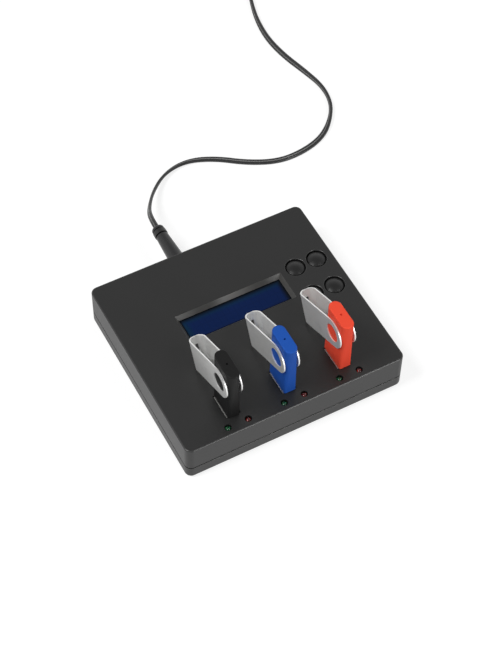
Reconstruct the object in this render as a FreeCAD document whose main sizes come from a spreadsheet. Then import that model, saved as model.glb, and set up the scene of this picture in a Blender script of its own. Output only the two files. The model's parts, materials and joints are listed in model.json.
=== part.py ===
"""Standalone flash drive duplicator: a two-shell case with one source port and two target ports, a
two-line display, four push buttons, six indicator lamps, three swivel-cover drives plugged in upright,
and a power lead with its wall adapter.

Millimetres, +Z up, +X to the right of someone who faces the ports, the case centred on X and Y, and
Z 0 on the table under the rubber feet.
"""
import FreeCAD, Part
import Sketcher
import math
import os

SIZES = {
    # case
    "case_width": 140.0,
    "case_depth": 127.0,
    "lower_height": 9.5,
    "upper_height": 17.4,
    "corner_radius": 4.2,
    "wall": 2.2,
    "floor_thickness": 2.2,
    "roof_thickness": 2.4,
    "top_edge_radius": 0.9,
    "bottom_edge_radius": 2.0,
    "edge_break": 0.3,
    "seam_inset": 0.7,
    "seam_height": 0.7,
    "lip_inset": 1.25,
    "lip_height": 1.4,
    "lip_side_clearance": 0.15,
    "lip_top_clearance": 0.2,
    # feet
    "foot_diameter": 9.8,
    "foot_thickness": 2.0,
    "foot_height": 1.2,
    "foot_clearance": 0.1,
    "foot_side_distance": 18.0,
    "foot_end_distance": 17.5,
    # case screws
    "screw_edge_distance": 9.0,
    "screw_boss_diameter": 7.0,
    "screw_shank_diameter": 3.0,
    "screw_shank_length": 14.0,
    "screw_head_diameter": 5.2,
    "screw_head_height": 1.8,
    "screw_seat_depth": 3.0,
    "screw_clearance": 0.15,
    "screw_recess_width": 0.7,
    "screw_recess_length": 2.8,
    "screw_recess_depth": 0.9,
    # main board and its screws
    "board_thickness": 1.6,
    "board_edge_clearance": 0.8,
    "board_boss_clearance": 1.0,
    "board_screw_side_distance": 17.5,
    "board_screw_front_distance": 33.5,
    "board_screw_rear_distance": 19.5,
    "board_boss_diameter": 6.0,
    "small_screw_shank_diameter": 2.4,
    "small_screw_shank_length": 6.0,
    "small_screw_head_diameter": 4.4,
    "small_screw_head_height": 1.2,
    # ports
    "port_pitch": 35.7,
    "port_front_distance": 19.0,
    "port_slot_width": 9.2,
    "port_slot_length": 16.6,
    "socket_height": 14.7,
    "socket_drop": 0.4,
    "socket_inner_width": 5.12,
    "socket_inner_length": 12.5,
    "socket_wall": 0.3,
    "socket_mouth_width": 8.2,
    "socket_mouth_length": 15.4,
    "tongue_base_height": 2.0,
    "tongue_thickness": 1.7,
    "tongue_length": 11.1,
    "tongue_drop": 0.7,
    # indicator lamps
    "lamp_front_distance": 5.1,
    "lamp_offset": 6.4,
    "lamp_hole_diameter": 4.2,
    "lamp_diameter": 3.8,
    "lamp_rim_diameter": 4.6,
    "lamp_rim_height": 1.0,
    "lamp_height": 5.3,
    "lamp_drop": 0.4,
    "lamp_dome_radius": 1.7,
    "spacer_diameter": 4.4,
    # display
    "display_button_gap": 3.75,
    "display_port_gap": 39.0,
    "bezel_width": 70.0,
    "bezel_depth": 20.0,
    "bezel_slope": 2.0,
    "collar_height": 0.5,
    "collar_margin": 2.5,
    "display_frame_margin_x": 0.5,
    "display_frame_margin_y": 2.0,
    "display_frame_height": 7.2,
    "display_frame_wall": 0.5,
    "display_window_margin": 0.5,
    "glass_thickness": 2.8,
    "glass_clearance": 0.3,
    "display_board_margin_x": 3.0,
    "display_board_margin_y": 8.5,
    "display_screw_inset_x": 5.0,
    "display_screw_inset_y": 3.0,
    "display_boss_diameter": 5.0,
    "header_length": 40.6,
    "header_width": 2.5,
    # buttons
    "button_side_distance": 10.45,
    "button_column_pitch": 14.2,
    "button_port_distance": 45.0,
    "button_row_pitch": 21.8,
    "button_hole_diameter": 12.4,
    "button_hole_round": 0.45,
    "button_clearance": 0.65,
    "button_flange_diameter": 14.0,
    "button_flange_height": 1.2,
    "button_flange_clearance": 0.3,
    "button_crown": 1.9,
    "button_edge_drop": 1.4,
    "button_edge_radius": 0.8,
    "button_stem_diameter": 7.0,
    "switch_width": 12.0,
    "switch_height": 3.6,
    "plunger_diameter": 5.6,
    "plunger_clearance": 0.1,
    "plunger_depth": 2.0,
    "plunger_rise": 1.3,
    "plunger_head_width": 3.8,
    "plunger_head_height": 2.4,
    "plunger_head_clearance": 0.2,
    "button_travel": 0.5,
    # power inlet
    "jack_x": -11.5,
    "jack_width": 9.0,
    "jack_height": 11.0,
    "jack_length": 14.2,
    "jack_recess": 0.2,
    "jack_axis_height": 6.5,
    "jack_bore_diameter": 6.0,
    "jack_bore_depth": 10.0,
    "jack_pin_diameter": 2.0,
    "jack_pin_drop": 0.8,
    "jack_wall_clearance": 0.3,
    # power plug
    "barrel_diameter": 5.5,
    "barrel_bore": 2.5,
    "barrel_length": 9.5,
    "grip_clearance": 0.3,
    "grip_front_diameter": 10.0,
    "grip_rear_diameter": 7.8,
    "grip_taper_length": 21.7,
    "grip_ring_width": 3.0,
    "grip_groove_width": 0.8,
    "grip_groove_depth": 0.9,
    "grip_ring_bulge": 0.3,
    "grip_tail_length": 2.7,
    "grip_tail_round": 1.8,
    # parts on the board
    "controller_width": 14.0,
    "controller_x": -24.0,
    "controller_port_distance": 28.5,
    "chip_height": 1.4,
    "memory_width": 18.4,
    "memory_depth": 12.0,
    "memory_x": 14.0,
    "memory_port_distance": 28.5,
    "capacitor_diameter": 5.0,
    "capacitor_height": 5.6,
    "capacitor_x": 16.0,
    "capacitor_pitch": 8.0,
    "capacitor_display_gap": 14.7,
    "crystal_length": 11.0,
    "crystal_width": 4.6,
    "crystal_height": 3.4,
    "crystal_x": -34.0,
    "crystal_display_gap": 12.7,
    # drives
    "drive_thickness": 7.8,
    "drive_width": 20.4,
    "drive_corner_radius": 3.85,
    "drive_cap_height": 5.0,
    "drive_foot_thickness": 7.4,
    "drive_foot_width": 18.0,
    "drive_foot_corner_radius": 0.9,
    "drive_height": 40.3,
    "drive_clearance": 0.3,
    "drive_edge_radius": 0.6,
    "pinhole_diameter": 1.2,
    "pinhole_depth": 3.0,
    "pivot_height": 25.9,
    "pivot_boss_diameter": 11.28,
    "pivot_boss_height": 0.5,
    "pivot_clearance": 0.06,
    "plug_thickness": 4.5,
    "plug_width": 12.0,
    "plug_wall": 0.3,
    "plug_length": 11.7,
    "plug_window": 2.3,
    "plug_window_offset": 2.6,
    "plug_window_drop": 5.2,
    "insert_thickness": 1.7,
    "insert_width": 11.2,
    "insert_drop": 0.2,
    # swivel covers
    "cover_sheet": 0.8,
    "cover_side_clearance": 0.3,
    "cover_width": 18.8,
    "cover_reach": 39.53,
    "cover_corner_radius": 0.6,
    "cover_rest_clearance": 0.3,
    "lanyard_slot_width": 2.0,
    "lanyard_slot_length": 8.4,
    # lead
    "lead_diameter": 3.8,
    "coil_x": 130.0,
    "coil_y": 306.0,
    "coil_radius": 30.0,
    "coil_pitch": 4.3,
    # wall adapter
    "adapter_x": 37.0,
    "adapter_y": 348.0,
    "adapter_length": 62.0,
    "adapter_width": 38.0,
    "adapter_height": 27.0,
    "adapter_edge_radius": 3.0,
    "sleeve_length": 20.0,
    "sleeve_axis_height": 5.0,
    "sleeve_root_diameter": 8.4,
    "sleeve_tip_diameter": 5.2,
    "blade_height": 17.3,
    "blade_width": 6.35,
    "blade_thickness": 1.5,
    "blade_pitch": 12.7,
}

COIL_START_ANGLE = -27.0
INWARD_HALF_TURNS = 8
OUTWARD_HALF_TURNS = 7
CUT_MARGIN = 1.0
CORNER_OVERRUN = 0.05

# The lead from the plug to the coil, chosen by eye along the real one: across the table in an S.
LEAD_ROUTE = [
    (-6.8, 114.0, 12.5),
    (4.0, 130.0, 6.5),
    (18.3, 142.7, 2.6),
    (35.0, 146.5, 1.9),
    (52.3, 140.2, 1.9),
    (69.6, 127.2, 1.9),
    (88.0, 119.0, 1.9),
    (106.0, 119.2, 1.9),
    (122.0, 123.9, 1.9),
    (133.0, 133.2, 1.9),
    (141.7, 145.8, 1.9),
    (144.2, 162.0, 1.9),
    (140.1, 180.0, 1.9),
    (135.0, 198.0, 1.9),
    (132.5, 217.0, 1.9),
    (134.5, 236.5, 1.9),
    (140.0, 255.0, 1.9),
]
LEAD_FIRST_RUN = 8.7
LEAD_LAST_RUN = 17.0
# The short stretch from the coil to the adapter.
TAIL_ROUTE = [
    (114.6, 345.2, 4.0),
]
TAIL_FIRST_RUN = 13.0
TAIL_LAST_RUN = 12.0

document = FreeCAD.newDocument("FlashDriveDuplicator")
sheet = document.addObject("Spreadsheet::Sheet", "Sizes")
for row, (alias, length) in enumerate(SIZES.items(), start=1):
    sheet.set(f"A{row}", alias)
    sheet.set(f"B{row}", str(length))
    sheet.setAlias(f"B{row}", alias)
document.recompute()


class Value:
    """A size worked out from the sheet: its number now, and the formula that keeps it bound."""

    def __init__(self, number, formula):
        self.number = number
        self.formula = formula

    def __add__(self, other):
        other = value(other)
        return Value(self.number + other.number, f"({self.formula} + {other.formula})")

    def __radd__(self, other):
        return value(other) + self

    def __sub__(self, other):
        other = value(other)
        return Value(self.number - other.number, f"({self.formula} - {other.formula})")

    def __rsub__(self, other):
        return value(other) - self

    def __mul__(self, other):
        other = value(other)
        return Value(self.number * other.number, f"({self.formula} * {other.formula})")

    def __rmul__(self, other):
        return value(other) * self

    def __truediv__(self, other):
        other = value(other)
        return Value(self.number / other.number, f"({self.formula} / {other.formula})")

    def __neg__(self):
        return Value(-self.number, f"(-{self.formula})")


def value(size):
    """size as a Value, whether it is one already or a plain number."""
    if isinstance(size, Value):
        return size
    return Value(float(size), f"({float(size)})")


def arc_tangent(ratio):
    return Value(math.degrees(math.atan(ratio.number)), f"atan({ratio.formula})")


def arc_sine(ratio):
    return Value(math.degrees(math.asin(ratio.number)), f"asin({ratio.formula})")


def root(square):
    return Value(math.sqrt(square.number), f"sqrt({square.formula})")


class Sheet:
    """The driving dimensions by name: size.wall is the sheet's cell of that alias."""

    def __getattr__(self, alias):
        return Value(SIZES[alias], f"Sizes.{alias}")


size = Sheet()


def bind(thing, name, size_value):
    """Bind a property or a constraint of a document object to a size."""
    thing.setExpression(name, value(size_value).formula)


def place(thing, x=0.0, y=0.0, z=0.0):
    """Bind an object's place."""
    for axis, distance in (("x", x), ("y", y), ("z", z)):
        bind(thing, f"Placement.Base.{axis}", distance)


def new_body(name):
    """A PartDesign body, which may hold several equal pieces as separate solids."""
    body = document.addObject("PartDesign::Body", name)
    body.Label = name
    body.AllowCompound = True
    return body


def new_sketch(body, plane, offset=0.0):
    """A sketch on one of the body's own origin planes, moved along that plane's normal."""
    sketch = body.newObject("Sketcher::SketchObject", f"{body.Name}_sketch")
    support = next(f for f in body.Origin.OriginFeatures if f.Role == plane)
    sketch.AttachmentSupport = (support, [""])
    sketch.MapMode = "FlatFace"
    bind(sketch, "AttachmentOffset.Base.z", offset)
    return sketch


def level(body, height):
    """A sketch in the body's XY plane at a height."""
    return new_sketch(body, "XY_Plane", height)


def fix_point(sketch, geometry, position, x, y):
    """Bind a sketch point's two coordinates."""
    for kind, distance in (("DistanceX", x), ("DistanceY", y)):
        distance = value(distance)
        index = sketch.addConstraint(
            Sketcher.Constraint(kind, -1, 1, geometry, position, distance.number)
        )
        bind(sketch, f"Constraints[{index}]", distance)


def circle(sketch, x, y, diameter):
    """A bound circle."""
    x, y, diameter = value(x), value(y), value(diameter)
    centre = FreeCAD.Vector(x.number, y.number, 0)
    geometry = sketch.addGeometry(
        Part.Circle(centre, FreeCAD.Vector(0, 0, 1), diameter.number / 2)
    )
    fix_point(sketch, geometry, 3, x, y)
    index = sketch.addConstraint(Sketcher.Constraint("Diameter", geometry, diameter.number))
    bind(sketch, f"Constraints[{index}]", diameter)


def circles(sketch, places, diameter):
    """One circle at each place."""
    for x, y in places:
        circle(sketch, x, y, diameter)
    return sketch


def outline(sketch, corners):
    """A closed outline. A corner is (x, y), or (x, y, centre, turn) where the side that follows is an
    arc about centre, with turn +1 for counterclockwise and -1 for clockwise."""
    corners = [(value(c[0]), value(c[1]), *c[2:]) for c in corners]
    sides = []
    for here, there in zip(corners, corners[1:] + corners[:1]):
        start = FreeCAD.Vector(here[0].number, here[1].number, 0)
        end = FreeCAD.Vector(there[0].number, there[1].number, 0)
        if len(here) == 2:
            sides.append((sketch.addGeometry(Part.LineSegment(start, end)), 1, 2))
            continue
        centre = FreeCAD.Vector(value(here[2][0]).number, value(here[2][1]).number, 0)
        turn = here[3]
        first, last = (start, end) if turn > 0 else (end, start)
        angles = [math.atan2(p.y - centre.y, p.x - centre.x) for p in (first, last)]
        full = Part.Circle(centre, FreeCAD.Vector(0, 0, 1), (start - centre).Length)
        geometry = sketch.addGeometry(Part.ArcOfCircle(full, angles[0], angles[1]))
        sides.append((geometry, 1, 2) if turn > 0 else (geometry, 2, 1))
        across = abs(end.x - start.x) > abs(end.y - start.y)
        kind, distance = ("DistanceY", here[2][1]) if across else ("DistanceX", here[2][0])
        distance = value(distance)
        index = sketch.addConstraint(
            Sketcher.Constraint(kind, -1, 1, geometry, 3, distance.number)
        )
        bind(sketch, f"Constraints[{index}]", distance)
    for (geometry, _, end), (following, start, _) in zip(sides, sides[1:] + sides[:1]):
        sketch.addConstraint(Sketcher.Constraint("Coincident", geometry, end, following, start))
    for (geometry, start, _), corner in zip(sides, corners):
        fix_point(sketch, geometry, start, corner[0], corner[1])
    return sketch


def rectangle(sketch, x, y, width, depth):
    """A rectangle about (x, y)."""
    left, right = x - width / 2, x + width / 2
    front, rear = y - depth / 2, y + depth / 2
    return outline(sketch, [(left, front), (right, front), (right, rear), (left, rear)])


def rounded_rectangle(sketch, x, y, width, depth, radius):
    """A rectangle about (x, y) with round corners."""
    left, right = x - width / 2, x + width / 2
    front, rear = y - depth / 2, y + depth / 2
    return outline(
        sketch,
        [
            (left + radius, front),
            (right - radius, front, (right - radius, front + radius), 1),
            (right, front + radius),
            (right, rear - radius, (right - radius, rear - radius), 1),
            (right - radius, rear),
            (left + radius, rear, (left + radius, rear - radius), 1),
            (left, rear - radius),
            (left, front + radius, (left + radius, front + radius), 1),
        ],
    )


def finish_feature(body, feature, grows):
    """Recompute, and make sure that the feature did add or remove material."""
    before = feature.BaseFeature.Shape.Volume if feature.BaseFeature else 0.0
    document.recompute()
    gained = feature.Shape.Volume - before
    if (gained > 0) != grows or abs(gained) < 1e-6:
        raise RuntimeError(f"{body.Label}: {feature.Name} changed nothing")
    return feature


def pad(body, sketch, length, both_ways=False, reversed_way=False):
    """Raise a sketch along its normal, against it, or half each way."""
    feature = body.newObject("PartDesign::Pad", f"{body.Name}_pad")
    feature.Profile = sketch
    bind(feature, "Length", length)
    if both_ways:
        feature.SideType = "Symmetric"
    feature.Reversed = reversed_way
    return finish_feature(body, feature, True)


def pocket(body, sketch, depth, along_normal=False):
    """Cut a sketch against its normal, or along it."""
    feature = body.newObject("PartDesign::Pocket", f"{body.Name}_pocket")
    feature.Profile = sketch
    bind(feature, "Length", depth)
    feature.Reversed = along_normal
    return finish_feature(body, feature, False)


def cut_through(body, sketch, span):
    """Cut a sketch both ways from its plane, over a span that is wider than the piece."""
    feature = body.newObject("PartDesign::Pocket", f"{body.Name}_opening")
    feature.Profile = sketch
    feature.SideType = "Symmetric"
    bind(feature, "Length", span)
    return finish_feature(body, feature, False)


def revolve(body, plane, axis, corners):
    """Turn an outline about one of its sketch's axes."""
    sketch = outline(new_sketch(body, plane), corners)
    feature = body.newObject("PartDesign::Revolution", f"{body.Name}_turned")
    feature.Profile = sketch
    feature.ReferenceAxis = (sketch, [axis])
    feature.Angle = 360
    return finish_feature(body, feature, True)


def round_edges(body, radius, chosen):
    """Round the edges of the body so far that chosen(edge) picks."""
    base = body.Tip
    names = [f"Edge{i}" for i, edge in enumerate(base.Shape.Edges, start=1) if chosen(edge)]
    feature = body.newObject("PartDesign::Fillet", f"{body.Name}_round")
    feature.Base = (base, names)
    bind(feature, "Radius", radius)
    document.recompute()
    return feature


def lies_at(height):
    """A test for the edges that lie level at a height."""
    height = value(height).number

    def test(edge):
        box = edge.BoundBox
        return abs(box.ZMin - height) < 1e-4 and abs(box.ZMax - height) < 1e-4

    return test


def circle_at(height, diameter):
    """A test for the round edges of one diameter at a height."""
    level_test = lies_at(height)
    radius = value(diameter).number / 2

    def test(edge):
        curve = edge.Curve
        return level_test(edge) and isinstance(curve, Part.Circle) and abs(curve.Radius - radius) < 1e-4

    return test


# Heights
parting = size.foot_height + size.lower_height
case_top = parting + size.upper_height
roof_underside = case_top - size.roof_thickness
inner_floor = size.foot_height + size.floor_thickness
board_top = case_top - size.socket_drop - size.socket_height
board_underside = board_top - size.board_thickness
collar_underside = roof_underside - size.collar_height
display_board_top = collar_underside - size.display_frame_height
display_board_underside = display_board_top - size.board_thickness
switch_top = board_top + size.switch_height
plunger_shoulder = switch_top + size.plunger_rise
plunger_top = plunger_shoulder + size.plunger_head_height
lamp_top = case_top - size.lamp_drop
lamp_foot = lamp_top - size.lamp_height
jack_axis = board_top + size.jack_axis_height
drive_foot = case_top + size.drive_clearance
drive_top = case_top + size.drive_height
pivot = case_top + size.pivot_height

# Places
rear_wall = size.case_depth / 2
side_wall = size.case_width / 2
port_y = size.port_front_distance - rear_wall
lamp_y = size.lamp_front_distance - rear_wall
right_button = side_wall - size.button_side_distance
left_button = right_button - size.button_column_pitch
front_button = port_y + size.button_port_distance
rear_button = front_button + size.button_row_pitch
BUTTON_PLACES = {
    "rear_left": (left_button, rear_button),
    "rear_right": (right_button, rear_button),
    "front_left": (left_button, front_button),
    "front_right": (right_button, front_button),
}
display_x = left_button - size.button_hole_diameter / 2 - size.display_button_gap - size.bezel_width / 2
display_y = port_y + size.port_slot_length / 2 + size.display_port_gap + size.bezel_depth / 2
display_board_width = size.bezel_width + 2 * size.display_board_margin_x
display_board_depth = size.bezel_depth + 2 * size.display_board_margin_y
display_screw_spacing_y = display_board_depth - 2 * size.display_screw_inset_y
display_board_rear = display_y + display_board_depth / 2
PORT_PLACES = {"left": -size.port_pitch, "middle": value(0.0), "right": value(0.0) + size.port_pitch}
green_lamps = [(x - size.lamp_offset, lamp_y) for x in PORT_PLACES.values()]
red_lamps = [(x + size.lamp_offset, lamp_y) for x in PORT_PLACES.values()]


def four_corners(spacing_x, spacing_y):
    """The four places of a rectangular pattern about the middle."""
    return [(across * spacing_x / 2, along * spacing_y / 2) for across in (-1, 1) for along in (-1, 1)]


screw_places = four_corners(
    size.case_width - 2 * size.screw_edge_distance, size.case_depth - 2 * size.screw_edge_distance
)
foot_places = four_corners(
    size.case_width - 2 * size.foot_side_distance, size.case_depth - 2 * size.foot_end_distance
)
board_screw_places = [
    (side * (side_wall - size.board_screw_side_distance), y)
    for side in (-1, 1)
    for y in (
        size.board_screw_front_distance - rear_wall,
        rear_wall - size.board_screw_rear_distance,
    )
]
display_screw_places = [
    (display_x + x, display_y + y)
    for x, y in four_corners(
        display_board_width - 2 * size.display_screw_inset_x, display_screw_spacing_y
    )
]
screw_hole_diameter = size.screw_shank_diameter + 2 * size.screw_clearance
screw_seat_diameter = size.screw_head_diameter + 2 * size.screw_clearance
screw_seat = size.foot_height + size.screw_seat_depth
small_screw_hole_diameter = size.small_screw_shank_diameter + 2 * size.screw_clearance
pilot_end_clearance = size.screw_clearance


def case_outline(sketch, inset):
    """The case's plan outline, moved inwards by inset."""
    return rounded_rectangle(
        sketch,
        value(0.0),
        value(0.0),
        size.case_width - 2 * inset,
        size.case_depth - 2 * inset,
        size.corner_radius - inset,
    )


def make_bottom_shell():
    """The tray: a round-edged floor and wall, the shadow gap's neck, the locating lip and screw posts."""
    body = new_body("bottom_shell")
    neck = parting - size.seam_height
    pad(body, case_outline(level(body, size.foot_height), value(0.0)), size.lower_height - size.seam_height)
    round_edges(body, size.bottom_edge_radius, lies_at(size.foot_height))
    round_edges(body, size.edge_break, lies_at(neck))
    pad(body, case_outline(level(body, neck), size.seam_inset), size.seam_height)
    pad(body, case_outline(level(body, parting), size.lip_inset), size.lip_height)
    lip_top = parting + size.lip_height
    pocket(body, case_outline(level(body, lip_top), size.wall), lip_top - inner_floor)
    posts = circles(level(body, inner_floor), screw_places, size.screw_boss_diameter)
    pad(body, posts, parting - inner_floor)
    below = size.foot_height - CUT_MARGIN
    holes = circles(level(body, below), screw_places, screw_hole_diameter)
    pocket(body, holes, parting - below + CUT_MARGIN, along_normal=True)
    seats = circles(level(body, screw_seat), screw_places, screw_seat_diameter)
    pocket(body, seats, screw_seat - below)
    recess = size.foot_thickness
    pads = circles(level(body, recess), foot_places, size.foot_diameter + 2 * size.foot_clearance)
    pocket(body, pads, recess - below)
    return body


def make_top_shell():
    """The moulded lid: a round-edged roof with the display's funnel bezel, port slots, lamp and button
    holes, the rebate for the tray's lip, and hanging bosses for the case, board and display screws."""
    body = new_body("top_shell")
    pad(body, case_outline(level(body, parting), value(0.0)), size.upper_height)
    round_edges(body, size.top_edge_radius, lies_at(case_top))
    round_edges(body, size.edge_break, lies_at(parting))
    pocket(
        body,
        case_outline(level(body, parting), size.wall),
        roof_underside - parting,
        along_normal=True,
    )
    rebate_inset = size.lip_inset - size.lip_side_clearance
    rebate_height = size.lip_height + size.lip_top_clearance
    pocket(body, case_outline(level(body, parting), rebate_inset), rebate_height, along_normal=True)
    hanging = [
        (screw_places, size.screw_boss_diameter, parting, size.screw_shank_diameter,
         screw_seat + size.screw_shank_length),
        (board_screw_places, size.board_boss_diameter, board_top, size.small_screw_shank_diameter,
         board_underside + size.small_screw_shank_length),
        (display_screw_places, size.display_boss_diameter, display_board_top,
         size.small_screw_shank_diameter, display_board_underside + size.small_screw_shank_length),
    ]
    for places, diameter, end, _, _ in hanging:
        pad(body, circles(level(body, end), places, diameter), roof_underside - end)
    collar = rounded_rectangle(
        level(body, collar_underside),
        display_x,
        display_y,
        size.bezel_width - 2 * size.bezel_slope + 2 * size.collar_margin,
        size.bezel_depth - 2 * size.bezel_slope + 2 * size.collar_margin,
        size.edge_break,
    )
    pad(body, collar, size.collar_height)
    for places, _, end, shank, shank_end in hanging:
        pilot = circles(level(body, end), places, shank + size.screw_clearance)
        pocket(body, pilot, shank_end + pilot_end_clearance - end, along_normal=True)
    upper = rectangle(
        level(body, case_top), display_x, display_y, size.bezel_width, size.bezel_depth
    )
    lower = rectangle(
        level(body, collar_underside),
        display_x,
        display_y,
        size.bezel_width - 2 * size.bezel_slope,
        size.bezel_depth - 2 * size.bezel_slope,
    )
    funnel = body.newObject("PartDesign::SubtractiveLoft", "display_funnel")
    funnel.Profile = upper
    funnel.Sections = [lower]
    funnel.Ruled = True
    finish_feature(body, funnel, False)
    openings = level(body, case_top + CUT_MARGIN)
    for x in PORT_PLACES.values():
        rounded_rectangle(
            openings, x, port_y, size.port_slot_width, size.port_slot_length, size.edge_break
        )
    circles(openings, green_lamps + red_lamps, size.lamp_hole_diameter)
    circles(openings, BUTTON_PLACES.values(), size.button_hole_diameter)
    pocket(body, openings, size.roof_thickness + 2 * CUT_MARGIN)
    round_edges(body, size.button_hole_round, circle_at(case_top, size.button_hole_diameter))
    inlet = rectangle(
        new_sketch(body, "XZ_Plane", -(rear_wall + CUT_MARGIN)),
        size.jack_x,
        board_top + size.jack_height / 2,
        size.jack_width + 2 * size.jack_wall_clearance,
        size.jack_height + 2 * size.jack_wall_clearance,
    )
    pocket(body, inlet, size.wall + 2 * CUT_MARGIN, along_normal=True)
    return body


def make_feet():
    """Four rubber pads in the tray's shallow recesses."""
    body = new_body("rubber_feet")
    pad(body, circles(level(body, 0.0), foot_places, size.foot_diameter), size.foot_thickness)
    round_edges(body, size.edge_break, lies_at(0.0))
    return body


def cross(sketch, x, y, width, length):
    """A cross-shaped outline for a screw's driver recess."""
    near, far = width / 2, length / 2
    return outline(
        sketch,
        [
            (x - near, y - far), (x + near, y - far), (x + near, y - near), (x + far, y - near),
            (x + far, y + near), (x + near, y + near), (x + near, y + far), (x - near, y + far),
            (x - near, y + near), (x - far, y + near), (x - far, y - near), (x - near, y - near),
        ],
    )


def make_screws(name, places, seat, head_diameter, head_height, shank_diameter, shank_length):
    """A set of equal screws, heads down, each with its head's top face at the height seat."""
    body = new_body(name)
    pad(body, circles(level(body, seat - head_height), places, head_diameter), head_height)
    pad(body, circles(level(body, seat), places, shank_diameter), shank_length)
    recess = level(body, seat - head_height)
    for x, y in places:
        cross(recess, x, y, size.screw_recess_width, size.screw_recess_length)
    pocket(body, recess, size.screw_recess_depth, along_normal=True)
    return body


def make_case_screws():
    return make_screws(
        "case_screws",
        screw_places,
        screw_seat,
        size.screw_head_diameter,
        size.screw_head_height,
        size.screw_shank_diameter,
        size.screw_shank_length,
    )


def make_small_screws(name, places, seat):
    return make_screws(
        name,
        places,
        seat,
        size.small_screw_head_diameter,
        size.small_screw_head_height,
        size.small_screw_shank_diameter,
        size.small_screw_shank_length,
    )


def make_main_board():
    """The circuit board: as wide as the case inside, notched at its corners round the screw posts."""
    body = new_body("main_board")
    wide = size.case_width / 2 - size.wall - size.board_edge_clearance
    deep = size.case_depth / 2 - size.wall - size.board_edge_clearance
    post = size.screw_boss_diameter / 2 + size.board_boss_clearance
    notch_x = size.case_width / 2 - size.screw_edge_distance - post
    notch_y = size.case_depth / 2 - size.screw_edge_distance - post
    sketch = outline(
        level(body, board_underside),
        [
            (-notch_x, -deep), (notch_x, -deep), (notch_x, -notch_y), (wide, -notch_y),
            (wide, notch_y), (notch_x, notch_y), (notch_x, deep), (-notch_x, deep),
            (-notch_x, notch_y), (-wide, notch_y), (-wide, -notch_y), (-notch_x, -notch_y),
        ],
    )
    pad(body, circles(sketch, board_screw_places, small_screw_hole_diameter), size.board_thickness)
    return body


def make_display_module():
    """The display as it comes: its board, light box, glass and sheet-metal frame, and its pin header."""
    x, y = display_x, display_y
    board = new_body("display_board")
    sketch = rectangle(
        level(board, display_board_underside), x, y, display_board_width, display_board_depth
    )
    pad(board, circles(sketch, display_screw_places, small_screw_hole_diameter), size.board_thickness)

    frame_width = size.bezel_width + 2 * size.display_frame_margin_x
    frame_depth = size.bezel_depth + 2 * size.display_frame_margin_y
    inner_width = frame_width - 2 * size.display_frame_wall
    inner_depth = frame_depth - 2 * size.display_frame_wall
    under_plate = collar_underside - size.display_frame_wall
    frame = new_body("display_frame")
    sketch = rounded_rectangle(
        level(frame, display_board_top),
        x,
        y,
        frame_width,
        frame_depth,
        size.display_frame_wall,
    )
    pad(frame, sketch, size.display_frame_height)
    sketch = rectangle(level(frame, display_board_top), x, y, inner_width, inner_depth)
    pocket(frame, sketch, under_plate - display_board_top, along_normal=True)
    window_width = size.bezel_width - 2 * size.bezel_slope + 2 * size.display_window_margin
    window_depth = size.bezel_depth - 2 * size.bezel_slope + 2 * size.display_window_margin
    sketch = rectangle(level(frame, collar_underside), x, y, window_width, window_depth)
    pocket(frame, sketch, size.display_frame_wall)

    glass_width = inner_width - 2 * size.glass_clearance
    glass_depth = inner_depth - 2 * size.glass_clearance
    glass_foot = under_plate - size.glass_thickness
    glass = new_body("display_glass")
    pad(glass, rectangle(level(glass, glass_foot), x, y, glass_width, glass_depth), size.glass_thickness)
    backlight = new_body("display_backlight")
    sketch = rectangle(level(backlight, display_board_top), x, y, glass_width, glass_depth)
    pad(backlight, sketch, glass_foot - display_board_top)

    header = new_body("display_header")
    header_y = y + display_screw_spacing_y / 2
    sketch = rectangle(level(header, board_top), x, header_y, size.header_length, size.header_width)
    pad(header, sketch, display_board_underside - board_top)
    return [board, frame, glass, backlight, header]


def make_socket(side, x):
    """One upright port: its drawn metal shell with a flanged mouth."""
    body = new_body(f"usb_socket_{side}")
    width = size.socket_inner_width + 2 * size.socket_wall
    length = size.socket_inner_length + 2 * size.socket_wall
    centre = value(0.0)
    tube_height = size.socket_height - size.socket_wall
    pad(body, rectangle(level(body, 0.0), centre, centre, width, length), tube_height)
    sketch = rounded_rectangle(
        level(body, tube_height),
        centre,
        centre,
        size.socket_mouth_width,
        size.socket_mouth_length,
        size.edge_break,
    )
    pad(body, sketch, size.socket_wall)
    sketch = rectangle(
        level(body, size.socket_height), centre, centre, size.socket_inner_width, size.socket_inner_length
    )
    pocket(body, sketch, size.socket_height)
    place(body, x, port_y, board_top)
    return body


def make_tongue(side, x):
    """One port's moulded contact block: the base that closes the shell and the tongue that stands on it."""
    body = new_body(f"usb_tongue_{side}")
    centre = value(0.0)
    sketch = rectangle(
        level(body, 0.0), centre, centre, size.socket_inner_width, size.socket_inner_length
    )
    pad(body, sketch, size.tongue_base_height)
    inner_face = size.plug_thickness / 2 - size.plug_wall - tongue_side_clearance()
    sketch = rectangle(
        level(body, size.tongue_base_height),
        inner_face - size.tongue_thickness / 2,
        centre,
        size.tongue_thickness,
        size.tongue_length,
    )
    pad(body, sketch, size.socket_height - size.tongue_drop - size.tongue_base_height)
    place(body, x, port_y, board_top)
    return body


def tongue_side_clearance():
    """The tongue stands midway between the plug's wall and its insert."""
    free = size.plug_thickness - 2 * size.plug_wall - size.insert_thickness - size.tongue_thickness
    return free / 3


def make_lamps(name, places):
    """Three indicator lamps, each a rim and a domed body."""
    body = new_body(name)
    pad(body, circles(level(body, lamp_foot), places, size.lamp_rim_diameter), size.lamp_rim_height)
    stem_foot = lamp_foot + size.lamp_rim_height
    pad(body, circles(level(body, stem_foot), places, size.lamp_diameter), lamp_top - stem_foot)
    round_edges(body, size.lamp_dome_radius, lies_at(lamp_top))
    return body


def make_spacers():
    """Six posts that hold the lamps at their height over the board."""
    body = new_body("led_spacers")
    sketch = circles(level(body, board_top), green_lamps + red_lamps, size.spacer_diameter)
    pad(body, sketch, lamp_foot - board_top)
    return body


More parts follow.
